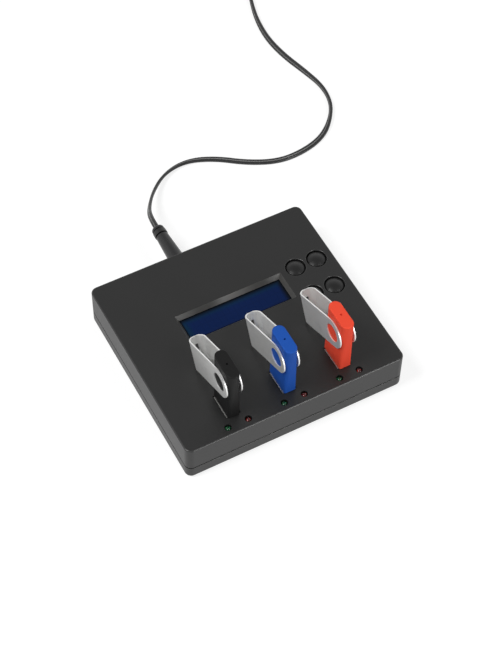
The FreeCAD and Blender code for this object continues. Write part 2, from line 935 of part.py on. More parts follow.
def make_switches():
    """The four push switches under the buttons, without their plungers."""
    body = new_body("tactile_switches")
    sketch = level(body, board_top)
    for x, y in BUTTON_PLACES.values():
        rectangle(sketch, x, y, size.switch_width, size.switch_width)
    pad(body, sketch, size.switch_height)
    round_edges(body, size.edge_break, lies_at(switch_top))
    wells = circles(
        level(body, switch_top),
        BUTTON_PLACES.values(),
        size.plunger_diameter + 2 * size.plunger_clearance,
    )
    pocket(body, wells, size.plunger_depth + size.button_travel + size.plunger_clearance)
    return body


def make_plunger(place_name, x, y):
    """One switch's plunger: round in the switch, with a square head that carries the button."""
    body = new_body(f"switch_plunger_{place_name}")
    foot = switch_top - size.plunger_depth
    centre = value(0.0)
    pad(body, circles(level(body, foot), [(centre, centre)], size.plunger_diameter), plunger_shoulder - foot)
    sketch = rectangle(
        level(body, plunger_shoulder), centre, centre, size.plunger_head_width, size.plunger_head_width
    )
    pad(body, sketch, size.plunger_head_height)
    place(body, x, y)
    return body


def make_button(place_name, x, y):
    """One button: a turned cap with a crowned top, its retaining flange and the stem over the switch."""
    body = new_body(f"button_{place_name}")
    cap = size.button_hole_diameter / 2 - size.button_clearance
    flange = size.button_flange_diameter / 2
    stem = size.button_stem_diameter / 2
    flange_top = roof_underside - size.button_flange_clearance
    flange_foot = flange_top - size.button_flange_height
    edge = case_top - size.button_edge_drop + size.button_edge_radius
    crown = edge + size.button_crown - size.button_edge_radius
    rim = cap - size.button_edge_radius
    rise = crown - edge
    crown_radius = (rim * rim + rise * rise) / (2 * rise)
    revolve(
        body,
        "XZ_Plane",
        "V_Axis",
        [
            (0.0, plunger_shoulder),
            (stem, plunger_shoulder),
            (stem, flange_foot),
            (flange, flange_foot),
            (flange, flange_top),
            (cap, flange_top),
            (cap, edge - size.button_edge_radius, (rim, edge - size.button_edge_radius), 1),
            (rim, edge, (0.0, crown - crown_radius), 1),
            (0.0, crown),
        ],
    )
    centre = value(0.0)
    sketch = rectangle(
        level(body, plunger_shoulder), centre, centre, size.plunger_head_width, size.plunger_head_width
    )
    pocket(body, sketch, size.plunger_head_height + size.plunger_head_clearance, along_normal=True)
    place(body, x, y)
    return body


def make_jack():
    """The power inlet: a moulded block that reaches through the rear wall, bored for the plug."""
    body = new_body("dc_jack")
    face = rear_wall - size.jack_recess
    block = rectangle(
        new_sketch(body, "XZ_Plane", -face),
        size.jack_x,
        board_top + size.jack_height / 2,
        size.jack_width,
        size.jack_height,
    )
    pad(body, block, size.jack_length)
    bore = new_sketch(body, "XZ_Plane", -face)
    circle(bore, size.jack_x, jack_axis, size.jack_bore_diameter)
    pocket(body, bore, size.jack_bore_depth, along_normal=True)
    return body


def make_jack_pin():
    """The inlet's centre pin, standing on the bottom of the bore."""
    body = new_body("dc_jack_pin")
    root_y = rear_wall - size.jack_recess - size.jack_bore_depth
    tip_y = rear_wall - size.jack_recess - size.jack_pin_drop
    sketch = new_sketch(body, "XZ_Plane", -tip_y)
    circle(sketch, size.jack_x, jack_axis, size.jack_pin_diameter)
    pad(body, sketch, tip_y - root_y)
    return body


def make_chip(name, x, y, width, depth, height):
    """A component's package on the board."""
    box = document.addObject("Part::Box", name)
    box.Label = name
    bind(box, "Length", width)
    bind(box, "Width", depth)
    bind(box, "Height", height)
    place(box, x - width / 2, y - depth / 2, board_top)
    document.recompute()
    return box


def make_capacitors():
    """Three upright capacitors behind the display."""
    body = new_body("capacitors")
    row = display_board_rear + size.capacitor_display_gap
    places = [(size.capacitor_x + i * size.capacitor_pitch, row) for i in range(3)]
    pad(body, circles(level(body, board_top), places, size.capacitor_diameter), size.capacitor_height)
    round_edges(body, size.edge_break, lies_at(board_top + size.capacitor_height))
    return body


def make_drive_body(side, x):
    """One drive's moulded body: square-cornered at the plug, growing to full round ends at the top, with
    a boss on each flank for the cover to turn on."""
    body = new_body(f"drive_body_{side}")
    foot = drive_foot - pivot
    top = drive_top - pivot
    shoulder = top - size.drive_cap_height
    middle = value(0.0)
    squared = rounded_rectangle(
        level(body, foot),
        middle,
        middle,
        size.drive_foot_thickness,
        size.drive_foot_width,
        size.drive_foot_corner_radius,
    )
    rounded = rounded_rectangle(
        level(body, shoulder),
        middle,
        middle,
        size.drive_thickness,
        size.drive_width,
        size.drive_corner_radius,
    )
    bar = body.newObject("PartDesign::AdditiveLoft", f"bar_{side}")
    bar.Profile = squared
    bar.Sections = [rounded]
    bar.Ruled = True
    finish_feature(body, bar, True)
    cap = rounded_rectangle(
        level(body, shoulder),
        middle,
        middle,
        size.drive_thickness,
        size.drive_width,
        size.drive_corner_radius,
    )
    pad(body, cap, size.drive_cap_height)
    round_edges(body, size.drive_edge_radius, lies_at(top))
    across = size.drive_thickness + 2 * size.pivot_boss_height
    boss = new_sketch(body, "YZ_Plane")
    circle(boss, 0.0, 0.0, size.pivot_boss_diameter)
    pad(body, boss, across, both_ways=True)
    pinhole = level(body, top)
    circle(pinhole, 0.0, 0.0, size.pinhole_diameter)
    pocket(body, pinhole, size.pinhole_depth)
    place(body, x, port_y, pivot)
    return body


def make_plug(side, x):
    """One drive's metal plug: a drawn tube with two latch windows in each broad face."""
    body = new_body(f"drive_plug_{side}")
    foot = -size.plug_length
    centre = value(0.0)
    outer = rectangle(level(body, foot), centre, centre, size.plug_thickness, size.plug_width)
    pad(body, outer, size.plug_length)
    inner_thickness = size.plug_thickness - 2 * size.plug_wall
    inner_width = size.plug_width - 2 * size.plug_wall
    inner = rectangle(level(body, foot), centre, centre, inner_thickness, inner_width)
    pocket(body, inner, size.plug_length, along_normal=True)
    windows = new_sketch(body, "YZ_Plane")
    for way in (-1, 1):
        rectangle(
            windows,
            way * size.plug_window_offset,
            -size.plug_window_drop,
            size.plug_window,
            size.plug_window,
        )
    cut_through(body, windows, size.plug_thickness + 2 * CUT_MARGIN)
    place(body, x, port_y, drive_foot)
    return body


def make_insert(side, x):
    """The moulded contact strip along one wall of the plug."""
    body = new_body(f"drive_insert_{side}")
    length = size.plug_length - size.insert_drop
    inner_face = -(size.plug_thickness / 2 - size.plug_wall)
    sketch = rectangle(
        level(body, -length),
        inner_face + size.insert_thickness / 2,
        value(0.0),
        size.insert_thickness,
        size.insert_width,
    )
    pad(body, sketch, length)
    place(body, x, port_y, drive_foot)
    return body


def make_cover(side, x):
    """One swivel cover: a sheet-metal strip bent into a U about the drive, blanked with a round nose and
    rounded heel corners, pierced for the drive's bosses and for a lanyard. Its heel comes to rest just
    clear of the case behind the drive, and its slope follows from that."""
    body = new_body(f"swivel_cover_{side}")
    inner = size.drive_thickness / 2 + size.cover_side_clearance
    outer = inner + size.cover_sheet
    half = size.cover_width / 2
    bend = size.cover_reach - outer
    start = -(half + CUT_MARGIN)
    strip = outline(
        level(body, 0.0),
        [
            (outer, start),
            (outer, bend, (0.0, bend), 1),
            (-outer, bend),
            (-outer, start),
            (-inner, start),
            (-inner, bend, (0.0, bend), -1),
            (inner, bend),
            (inner, start),
        ],
    )
    pad(body, strip, size.cover_width + 2 * CUT_MARGIN, both_ways=True)
    corner = size.cover_corner_radius
    heel = size.cover_reach - corner
    end = size.cover_reach + CORNER_OVERRUN
    round_centre = end - corner
    beyond = size.cover_reach + 2 * CUT_MARGIN
    margin = half + 2 * CUT_MARGIN
    trim = new_sketch(body, "YZ_Plane")
    outline(
        trim,
        [(start - CUT_MARGIN, -margin), (beyond, -margin), (beyond, margin), (start - CUT_MARGIN, margin)],
    )
    outline(
        trim,
        [
            (0.0, -half),
            (round_centre, -half, (round_centre, corner - half), 1),
            (end, corner - half),
            (end, half - corner, (round_centre, half - corner), 1),
            (round_centre, half),
            (0.0, half, (0.0, 0.0), 1),
        ],
    )
    cut_through(body, trim, 2 * outer + 2 * CUT_MARGIN)
    hole = new_sketch(body, "YZ_Plane")
    circle(hole, 0.0, 0.0, size.pivot_boss_diameter + 2 * size.pivot_clearance)
    cut_through(body, hole, 2 * outer + 2 * CUT_MARGIN)
    slot = rounded_rectangle(
        new_sketch(body, "XZ_Plane", -(size.cover_reach + CUT_MARGIN)),
        value(0.0),
        value(0.0),
        size.lanyard_slot_width,
        size.lanyard_slot_length,
        size.edge_break,
    )
    pocket(body, slot, outer + CUT_MARGIN, along_normal=True)
    down = half - corner
    drop = size.pivot_height - size.cover_rest_clearance - corner
    slope = arc_sine(drop / root(heel * heel + down * down)) - arc_tangent(down / heel)
    body.Placement = FreeCAD.Placement(
        FreeCAD.Vector(0, 0, 0), FreeCAD.Rotation(FreeCAD.Vector(1, 0, 0), -slope.number)
    )
    bind(body, "Placement.Rotation.Angle", -slope)
    place(body, x, port_y, pivot)
    print(f"{body.Label}: slope {slope.number:.2f} degrees")
    return body


grip_front = rear_wall + size.grip_clearance
grip_length = size.grip_taper_length + size.grip_ring_width + 2 * size.grip_groove_width + size.grip_tail_length
grip_end = grip_front + grip_length


def make_grip():
    """The plug's moulded grip: a long taper, a ring between two grooves, and a rounded tail."""
    body = new_body("plug_overmould")
    front = size.grip_front_diameter / 2
    rear = size.grip_rear_diameter / 2
    groove = rear - size.grip_groove_depth
    ring = rear + size.grip_ring_bulge
    first = size.grip_taper_length
    second = first + size.grip_groove_width
    third = second + size.grip_ring_width
    fourth = third + size.grip_groove_width
    soft = size.grip_tail_round
    revolve(
        body,
        "XY_Plane",
        "V_Axis",
        [
            (0.0, 0.0),
            (front, 0.0),
            (rear, first),
            (groove, first),
            (groove, second),
            (ring, second),
            (ring, third),
            (groove, third),
            (groove, fourth),
            (rear, fourth),
            (rear, grip_length - soft, (rear - soft, grip_length - soft), 1),
            (rear - soft, grip_length),
            (0.0, grip_length),
        ],
    )
    place(body, size.jack_x, grip_front, jack_axis)
    return body


def make_barrel():
    """The plug's metal barrel, which stands on the grip's face and enters the inlet."""
    body = new_body("plug_barrel")
    sketch = new_sketch(body, "XZ_Plane", 0.0)
    circle(sketch, 0.0, 0.0, size.barrel_diameter)
    circle(sketch, 0.0, 0.0, size.barrel_bore)
    pad(body, sketch, size.barrel_length)
    place(body, size.jack_x, grip_front, jack_axis)
    return body


def vector(point):
    return FreeCAD.Vector(*point)


def biarc(start, start_way, end, end_way):
    """Two arcs that leave start along start_way and reach end along end_way with no corner."""
    across = end - start
    ways = start_way + end_way
    slack = 2 * (1 - start_way.dot(end_way))
    along = across.dot(ways)
    reach = (math.sqrt(along * along + slack * across.dot(across)) - along) / slack
    first = start + start_way * reach
    second = end - end_way * reach
    middle = (first + second) * 0.5
    return [tangent_arc(start, first, middle), tangent_arc(middle, second, end)]


def tangent_arc(start, corner, end):
    """The arc from start to end that is tangent to both sides of the corner between them."""
    before = (start - corner).normalize()
    after = (end - corner).normalize()
    half_corner = math.acos(max(-1.0, min(1.0, before.dot(after)))) / 2
    reach = (start - corner).Length
    to_centre = (before + after).normalize()
    radius = reach * math.tan(half_corner)
    middle = corner + to_centre * (reach / math.cos(half_corner) - radius)
    return Part.Arc(start, middle, end).toShape()


def rounded_route(points):
    """Straight runs joined by tangent arcs, each as large as its two runs allow. Returns edges, radii."""
    edges, radii = [], []
    here = points[0]
    for before, corner, after in zip(points, points[1:], points[2:]):
        to_corner = (corner - before).normalize()
        from_corner = (after - corner).normalize()
        half_turn = to_corner.getAngle(from_corner) / 2
        reach = 0.45 * min((corner - before).Length, (after - corner).Length)
        radii.append(reach / math.tan(half_turn))
        start = corner - to_corner * reach
        end = corner + from_corner * reach
        edges.append(Part.LineSegment(here, start).toShape())
        edges.append(tangent_arc(start, corner, end))
        here = end
    edges.append(Part.LineSegment(here, points[-1]).toShape())
    return edges, radii


def make_tube(name, edges, diameter):
    """A round tube along joined edges, its volume compared with section times length."""
    path = Part.Wire(edges)
    first = edges[0]
    way = first.tangentAt(first.FirstParameter)
    ring = Part.Wire([Part.Circle(first.Vertexes[0].Point, way, diameter / 2).toShape()])
    shape = path.makePipeShell([ring], True, False)
    expected = math.pi * diameter * diameter / 4 * path.Length
    print(f"{name}: length {path.Length:.1f}, volume over section times length {shape.Volume / expected:.4f}")
    tube = document.addObject("Part::Feature", name)
    tube.Label = name
    tube.Shape = shape
    return tube


def half_turns(centre, radius, pitch, along, across, inward, outward):
    """The coil's middle line: it spirals in on the table, climbs a layer in one half turn and spirals out
    on top, with a last quarter turn that points it at the adapter. along is the unit vector from the
    centre to the start, and across the way the coil sets off. Returns edges, the end and its way."""
    step = pitch / 2
    edges = []
    here = centre + along * radius
    way = across
    for turn in range(inward):
        there = here + way_to_centre(along, turn) * (2 * (radius - turn * step))
        edges += biarc(here, way, there, way * -1)
        here, way = there, way * -1
    core = radius - inward * step
    top = FreeCAD.Vector(0, 0, pitch)
    climb = math.atan2(pitch, math.pi * core)
    half_way = centre + across * core + top * 0.5
    half_way_heading = along * (-math.cos(climb)) + FreeCAD.Vector(0, 0, math.sin(climb))
    there = centre - along * core + top
    edges += biarc(here, way, half_way, half_way_heading)
    edges += biarc(half_way, half_way_heading, there, way * -1)
    here, way = there, way * -1
    for turn in range(outward):
        there = here + way_to_centre(along, turn + 1) * (2 * (core + (turn + 1) * step))
        edges += biarc(here, way, there, way * -1)
        here, way = there, way * -1
    there = centre + across * radius + top
    edges += biarc(here, way, there, along * -1)
    return edges, there, along * -1


def way_to_centre(along, turn):
    """The unit vector from where a half turn starts towards its middle."""
    return along * -1 if turn % 2 == 0 else along


def least_gap(edges, diameter):
    """The least distance of a wound tube's surface from itself, on points along its middle line."""
    spacing = diameter / 2
    points = []
    travelled = []
    total = 0.0
    for edge in edges:
        count = max(2, int(edge.Length / spacing) + 1)
        for i, point in enumerate(edge.discretize(count)[:-1]):
            points.append(point)
            travelled.append(total + edge.Length * i / (count - 1))
        total += edge.Length
    apart = math.pi * diameter
    least = min(
        first.distanceToPoint(second)
        for i, first in enumerate(points)
        for j, second in enumerate(points[:i])
        if travelled[i] - travelled[j] > apart
    )
    return least - diameter


def make_lead():
    """The lead: the stretch across the table, the put-away coil and the tail to the adapter."""
    diameter = SIZES["lead_diameter"]
    angle = math.radians(COIL_START_ANGLE)
    along = FreeCAD.Vector(math.cos(angle), math.sin(angle), 0)
    across = FreeCAD.Vector(-math.sin(angle), math.cos(angle), 0)
    centre = FreeCAD.Vector(SIZES["coil_x"], SIZES["coil_y"], diameter / 2)
    radius = SIZES["coil_radius"]
    turns, end, end_way = half_turns(
        centre, radius, SIZES["coil_pitch"], along, across, INWARD_HALF_TURNS, OUTWARD_HALF_TURNS
    )
    start = centre + along * radius
    entry = start - across * diameter
    leave = end + end_way * diameter
    coil_edges = [
        Part.LineSegment(entry, start).toShape(),
        *turns,
        Part.LineSegment(end, leave).toShape(),
    ]
    print(f"cord_coil: least gap to itself {least_gap(coil_edges, diameter):.2f}")

    plug_end = FreeCAD.Vector(SIZES["jack_x"], grip_end.number, jack_axis.number)
    first = plug_end + FreeCAD.Vector(0, LEAD_FIRST_RUN, 0)
    last = entry - across * LEAD_LAST_RUN
    lead_edges, radii = rounded_route([plug_end, first, *map(vector, LEAD_ROUTE), last, entry])
    print("power_cord: radii " + " ".join(f"{r:.1f}" for r in radii))

    sleeve_tip = FreeCAD.Vector(
        SIZES["adapter_x"] + SIZES["adapter_length"] / 2 + SIZES["sleeve_length"],
        SIZES["adapter_y"],
        SIZES["sleeve_axis_height"],
    )
    tail_points = [
        leave,
        leave + end_way * TAIL_FIRST_RUN,
        *map(vector, TAIL_ROUTE),
        sleeve_tip + FreeCAD.Vector(TAIL_LAST_RUN, 0, 0),
        sleeve_tip,
    ]
    tail_edges, radii = rounded_route(tail_points)
    print("cord_tail: radii " + " ".join(f"{r:.1f}" for r in radii))
    return [
        make_tube("power_cord", lead_edges, diameter),
        make_tube("cord_coil", coil_edges, diameter),
        make_tube("cord_tail", tail_edges, diameter),
    ]


def make_adapter():
    """The wall adapter on its back: its moulded body, the cord's sleeve and the two upright blades."""
    body = new_body("adapter_body")
    sketch = rounded_rectangle(
        level(body, 0.0),
        value(0.0),
        value(0.0),
        size.adapter_length,
        size.adapter_width,
        size.adapter_edge_radius,
    )
    pad(body, sketch, size.adapter_height)
    round_edges(body, size.edge_break, lies_at(0.0))
    round_edges(body, size.adapter_edge_radius / 2, lies_at(size.adapter_height))
    place(body, size.adapter_x, size.adapter_y)

    sleeve = new_body("adapter_sleeve")
    root_radius = size.sleeve_root_diameter / 2
    tip_radius = size.sleeve_tip_diameter / 2
    revolve(
        sleeve,
        "XY_Plane",
        "H_Axis",
        [(0.0, 0.0), (size.sleeve_length, 0.0), (size.sleeve_length, tip_radius), (0.0, root_radius)],
    )
    place(
        sleeve,
        size.adapter_x + size.adapter_length / 2,
        size.adapter_y,
        size.sleeve_axis_height,
    )

    blades = new_body("adapter_blades")
    sketch = level(blades, size.adapter_height)
    for way in (-1, 1):
        rectangle(
            sketch, value(0.0), way * size.blade_pitch / 2, size.blade_width, size.blade_thickness
        )
    pad(blades, sketch, size.blade_height)
    round_edges(
        blades, size.blade_thickness / 4, lies_at(size.adapter_height + size.blade_height)
    )
    place(blades, size.adapter_x, size.adapter_y)
    return [body, sleeve, blades]


def make_all():
    """Every sub-part, in the order in which the product goes together."""
    parts = [
        make_bottom_shell(),
        make_top_shell(),
        make_feet(),
        make_case_screws(),
        make_main_board(),
        make_small_screws("board_screws", board_screw_places, board_underside),
        make_small_screws("display_screws", display_screw_places, display_board_underside),
        *make_display_module(),
        make_lamps("green_leds", green_lamps),
        make_lamps("red_leds", red_lamps),
        make_spacers(),
        make_switches(),
        make_jack(),
        make_jack_pin(),
        make_capacitors(),
        make_chip(
            "controller_chip",
            size.controller_x,
            port_y + size.controller_port_distance,
            size.controller_width,
            size.controller_width,
            size.chip_height,
        ),
        make_chip(
            "memory_chip",
            size.memory_x,
            port_y + size.memory_port_distance,
            size.memory_width,
            size.memory_depth,
            size.chip_height,
        ),
        make_chip(
            "crystal",
            size.crystal_x,
            display_board_rear + size.crystal_display_gap,
            size.crystal_length,
            size.crystal_width,
            size.crystal_height,
        ),
    ]
    for place_name, (x, y) in BUTTON_PLACES.items():
        parts.append(make_plunger(place_name, x, y))
        parts.append(make_button(place_name, x, y))
    for side, x in PORT_PLACES.items():
        parts.append(make_socket(side, x))
        parts.append(make_tongue(side, x))
        parts.append(make_drive_body(side, x))
        parts.append(make_plug(side, x))
        parts.append(make_insert(side, x))
        parts.append(make_cover(side, x))
    parts += [make_grip(), make_barrel()]
    parts += make_lead()
    parts += make_adapter()
    return parts


parts = make_all()
document.recompute()
for thing in document.Objects:
    if "Invalid" in thing.State or "Error" in thing.State:
        raise RuntimeError(f"{thing.Name} failed: {thing.State}")
for part in parts:
    if part.Shape.isNull() or not part.Shape.isValid():
        raise RuntimeError(f"{part.Label} has no valid shape")
os.makedirs("parts", exist_ok=True)
for part in parts:
    part.Shape.exportStep(f"parts/{part.Label}.step")
print(f"{len(parts)} sub-parts, {sum(len(part.Shape.Solids) for part in parts)} solids")
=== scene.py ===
"""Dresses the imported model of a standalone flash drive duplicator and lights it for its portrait.

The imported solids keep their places. This file gives each of them its finish, lays the flat twin lead
along the same route as the solid lead, adds the small trim that a finished product shows, and sets up
the studio: a pale floor, soft light and the camera.
"""
from __future__ import annotations

import json
import logging
import math
from dataclasses import dataclass, field
from enum import Enum
from typing import Iterable, Sequence, Union

import bmesh
import bpy
import numpy as np
from mathutils import Matrix, Vector

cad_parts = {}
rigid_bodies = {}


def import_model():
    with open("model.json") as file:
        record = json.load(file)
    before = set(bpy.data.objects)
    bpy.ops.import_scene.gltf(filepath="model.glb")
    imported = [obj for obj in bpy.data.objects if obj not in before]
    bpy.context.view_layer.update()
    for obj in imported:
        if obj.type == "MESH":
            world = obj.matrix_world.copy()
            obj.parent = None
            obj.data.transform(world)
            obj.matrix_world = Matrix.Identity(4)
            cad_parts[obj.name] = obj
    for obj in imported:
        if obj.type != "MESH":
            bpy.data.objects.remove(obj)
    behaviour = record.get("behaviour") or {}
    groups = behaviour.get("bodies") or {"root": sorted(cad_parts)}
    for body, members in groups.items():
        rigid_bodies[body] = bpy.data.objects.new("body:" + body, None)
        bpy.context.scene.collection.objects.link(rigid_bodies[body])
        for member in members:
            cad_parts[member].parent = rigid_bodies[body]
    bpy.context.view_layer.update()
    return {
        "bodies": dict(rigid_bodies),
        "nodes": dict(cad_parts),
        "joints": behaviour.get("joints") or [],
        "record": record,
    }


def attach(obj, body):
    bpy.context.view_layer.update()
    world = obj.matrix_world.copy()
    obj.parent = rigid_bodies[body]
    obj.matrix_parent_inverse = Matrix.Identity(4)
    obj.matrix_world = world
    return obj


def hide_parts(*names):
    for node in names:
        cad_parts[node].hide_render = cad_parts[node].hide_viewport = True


log = logging.getLogger("duplicator")

Point = tuple[float, float, float]
Colour = tuple[float, float, float]
MM = 0.001
WHITE: Colour = (1.0, 1.0, 1.0)
SIDES = ("left", "middle", "right")
WELD_DISTANCE = 1e-6
FLAT_WITHIN = math.radians(0.5)
SHARP_OVER = math.radians(40)
GROOVE = "groove"


def rgba(colour: Colour) -> tuple[float, float, float, float]:
    """Return a linear colour with full alpha."""
    return (*colour, 1.0)


def from_screen(red: int, green: int, blue: int) -> Colour:
    """Turn a colour as a screen writes it into the linear one that shaders take.

    Args:
        red: Red, 0 to 255.
        green: Green, 0 to 255.
        blue: Blue, 0 to 255.

    Returns:
        The linear colour.
    """

    def linear(level: int) -> float:
        """Return one channel's linear level."""
        share = level / 255
        return share / 12.92 if share <= 0.04045 else ((share + 0.055) / 1.055) ** 2.4

    return (linear(red), linear(green), linear(blue))


# ---------------------------------------------------------------------------------------------
# Shader maths


class Signal:
    """A value that varies over a surface, so that shader maths reads as plain Python."""

    def __init__(self, graph: "Graph", socket: bpy.types.NodeSocket) -> None:
        """Wrap one output socket of a graph's node."""
        self.graph = graph
        self.socket = socket

    def _combine(self, operation: str, first: "Operand", second: "Operand") -> "Signal":
        """Add one Math node.

        Args:
            operation: The Math node's operation.
            first: Its first value.
            second: Its second value.

        Returns:
            The node's result.
        """
        node = self.graph.add("ShaderNodeMath", {"operation": operation}, {0: first, 1: second})
        return Signal(self.graph, node.outputs[0])

    def __add__(self, other: "Operand") -> "Signal":
        """Return self + other."""
        return self._combine("ADD", self, other)

    def __radd__(self, other: "Operand") -> "Signal":
        """Return other + self."""
        return self._combine("ADD", other, self)

    def __sub__(self, other: "Operand") -> "Signal":
        """Return self - other."""
        return self._combine("SUBTRACT", self, other)

    def __rsub__(self, other: "Operand") -> "Signal":
        """Return other - self."""
        return self._combine("SUBTRACT", other, self)

    def __mul__(self, other: "Operand") -> "Signal":
        """Return self * other."""
        return self._combine("MULTIPLY", self, other)

    def __rmul__(self, other: "Operand") -> "Signal":
        """Return other * self."""
        return self._combine("MULTIPLY", other, self)

    def __truediv__(self, other: "Operand") -> "Signal":
        """Return self / other."""
        return self._combine("DIVIDE", self, other)

    def __rtruediv__(self, other: "Operand") -> "Signal":
        """Return other / self."""
        return self._combine("DIVIDE", other, self)

    def __mod__(self, other: "Operand") -> "Signal":
        """Return self modulo other, never below zero."""
        return self._combine("FLOORED_MODULO", self, other)

    def __abs__(self) -> "Signal":
        """Return self without its sign."""
        return self._combine("ABSOLUTE", self, 0.0)

    def above(self, level: "Operand") -> "Signal":
        """Return 1 where self is over level, and else 0."""
        return self._combine("GREATER_THAN", self, level)

    def larger(self, other: "Operand") -> "Signal":
        """Return the larger of the two."""
        return self._combine("MAXIMUM", self, other)

    def ramp(self, low: float, high: float) -> "Signal":
        """Return 0 at low and 1 at high, smooth between them and held beyond them."""
        node = self.graph.add(
            "ShaderNodeMapRange",
            {"interpolation_type": "SMOOTHSTEP", "clamp": True},
            {"Value": self, "From Min": low, "From Max": high, "To Min": 0.0, "To Max": 1.0},
        )
        return Signal(self.graph, node.outputs[0])


class Ray(Enum):
    """The kinds of ray that see the white background."""

    CAMERA = "Is Camera Ray"
    GLOSSY = "Is Glossy Ray"
    TRANSMISSION = "Is Transmission Ray"


Operand = Union[Signal, float]
Socketable = Union[Signal, bpy.types.NodeSocket, float, tuple]


class Graph:
    """The node tree of one material or world, filled through a single method for nodes."""

    def __init__(self, owner: bpy.types.Material | bpy.types.World) -> None:
        """Empty the owner's node tree, to fill it anew."""
        owner.use_nodes = True
        self.owner = owner
        self.tree = owner.node_tree
        self.tree.nodes.clear()
        self._coordinates: bpy.types.NodeSocket | None = None

    @classmethod
    def of_material(cls, name: str) -> "Graph":
        """Return the graph of a new material."""
        return cls(bpy.data.materials.new(name))

    def add(
        self,
        kind: str,
        settings: dict[str, object] | None = None,
        sockets: dict[str | int, Socketable] | None = None,
    ) -> bpy.types.Node:
        """Add a node.

        Args:
            kind: The node's type.
            settings: Its own settings, made first.
            sockets: Its inputs' values or links, by name or number.

        Returns:
            The node.
        """
        node = self.tree.nodes.new(kind)
        for key, setting in (settings or {}).items():
            setattr(node, key, setting)
        for key, entry in (sockets or {}).items():
            socket = node.inputs[key]
            if isinstance(entry, Signal):
                self.tree.links.new(entry.socket, socket)
            elif isinstance(entry, bpy.types.NodeSocket):
                self.tree.links.new(entry, socket)
            elif isinstance(entry, tuple) and len(entry) == 3 and socket.type == "RGBA":
                socket.default_value = rgba(entry)
            else:
                socket.default_value = entry
        return node

    @property
    def place(self) -> bpy.types.NodeSocket:
        """The piece's own coordinates, in metres."""
        if self._coordinates is None:
            self._coordinates = self.add("ShaderNodeTexCoord").outputs["Object"]
        return self._coordinates

    def axes(self) -> tuple[Signal, Signal, Signal]:
        """Return the piece's own X, Y and Z, in metres."""
        node = self.add("ShaderNodeSeparateXYZ", {}, {0: self.place})
        return tuple(Signal(self, out) for out in node.outputs)

    def facing(self) -> tuple[Signal, Signal, Signal]:
        """Return X, Y and Z of the way that the surface faces, in the piece's own axes."""
        normal = self.add("ShaderNodeTexCoord").outputs["Normal"]
        node = self.add("ShaderNodeSeparateXYZ", {}, {0: normal})
        return tuple(Signal(self, out) for out in node.outputs)

    def marked(self, name: str) -> Signal:
        """Return a number that the mesh keeps at each of its corners, under that name."""
        return Signal(self, self.add("ShaderNodeAttribute", {"attribute_name": name}).outputs["Fac"])

    def stretched(self, factors: Point) -> bpy.types.NodeSocket:
        """Return the coordinates multiplied along each axis."""
        node = self.add("ShaderNodeVectorMath", {"operation": "MULTIPLY"}, {0: self.place, 1: factors})
        return node.outputs["Vector"]

    def noise(self, size: float, detail: float = 2.0, stretch: Point | None = None) -> Signal:
        """Return smooth noise, 0 to 1.

        Args:
            size: The width of one blotch, in metres.
            detail: How many finer layers it has.
            stretch: Factors on the coordinates, for streaks.

        Returns:
            The noise.
        """
        where = self.stretched(stretch) if stretch else self.place
        node = self.add(
            "ShaderNodeTexNoise",
            {"noise_dimensions": "3D"},
            {"Vector": where, "Scale": 1 / size, "Detail": detail, "Roughness": 0.55},
        )
        return Signal(self, node.outputs[0])

    def grains(self, size: float) -> Signal:
        """Return the distance to the nearest grain's middle, 0 to about 1, for grains of that size."""
        node = self.add(
            "ShaderNodeTexVoronoi",
            {"voronoi_dimensions": "3D", "feature": "F1"},
            {"Vector": self.place, "Scale": 1 / size},
        )
        return Signal(self, node.outputs["Distance"])

    def mixed(self, share: Socketable, first: Socketable, second: Socketable) -> bpy.types.NodeSocket:
        """Return a colour between first and second.

        Args:
            share: 0 for first, 1 for second.
            first: A colour.
            second: A colour.

        Returns:
            The mixed colour's socket.
        """
        node = self.add("ShaderNodeMix", {"data_type": "RGBA"}, {0: share, 6: first, 7: second})
        return node.outputs[2]

    def relief(self, height: Signal, depth: float, strength: float = 1.0) -> bpy.types.NodeSocket:
        """Return a normal bent by a height that goes from 0 to 1 over depth metres."""
        node = self.add(
            "ShaderNodeBump", {}, {"Height": height, "Distance": depth, "Strength": strength}
        )
        return node.outputs["Normal"]

    def surface(self, **sockets: Socketable) -> bpy.types.Material:
        """Finish the material with one Principled shader.

        Args:
            **sockets: Its inputs, with underscores for the spaces in their names.

        Returns:
            The material.
        """
        inputs = {key.replace("_", " "): entry for key, entry in sockets.items()}
        shader = self.add("ShaderNodeBsdfPrincipled", {}, inputs)
        self.add("ShaderNodeOutputMaterial", {}, {"Surface": shader.outputs[0]})
        return self.owner

    def seen_directly(self) -> Signal:
        """Return 1 for the rays that look at the background itself or at its reflection, and else 0."""
        path = self.add("ShaderNodeLightPath")
        camera, glossy, transmitted = (Signal(self, path.outputs[ray.value]) for ray in Ray)
        return camera.larger(glossy).larger(transmitted)


# ---------------------------------------------------------------------------------------------
# Finishes


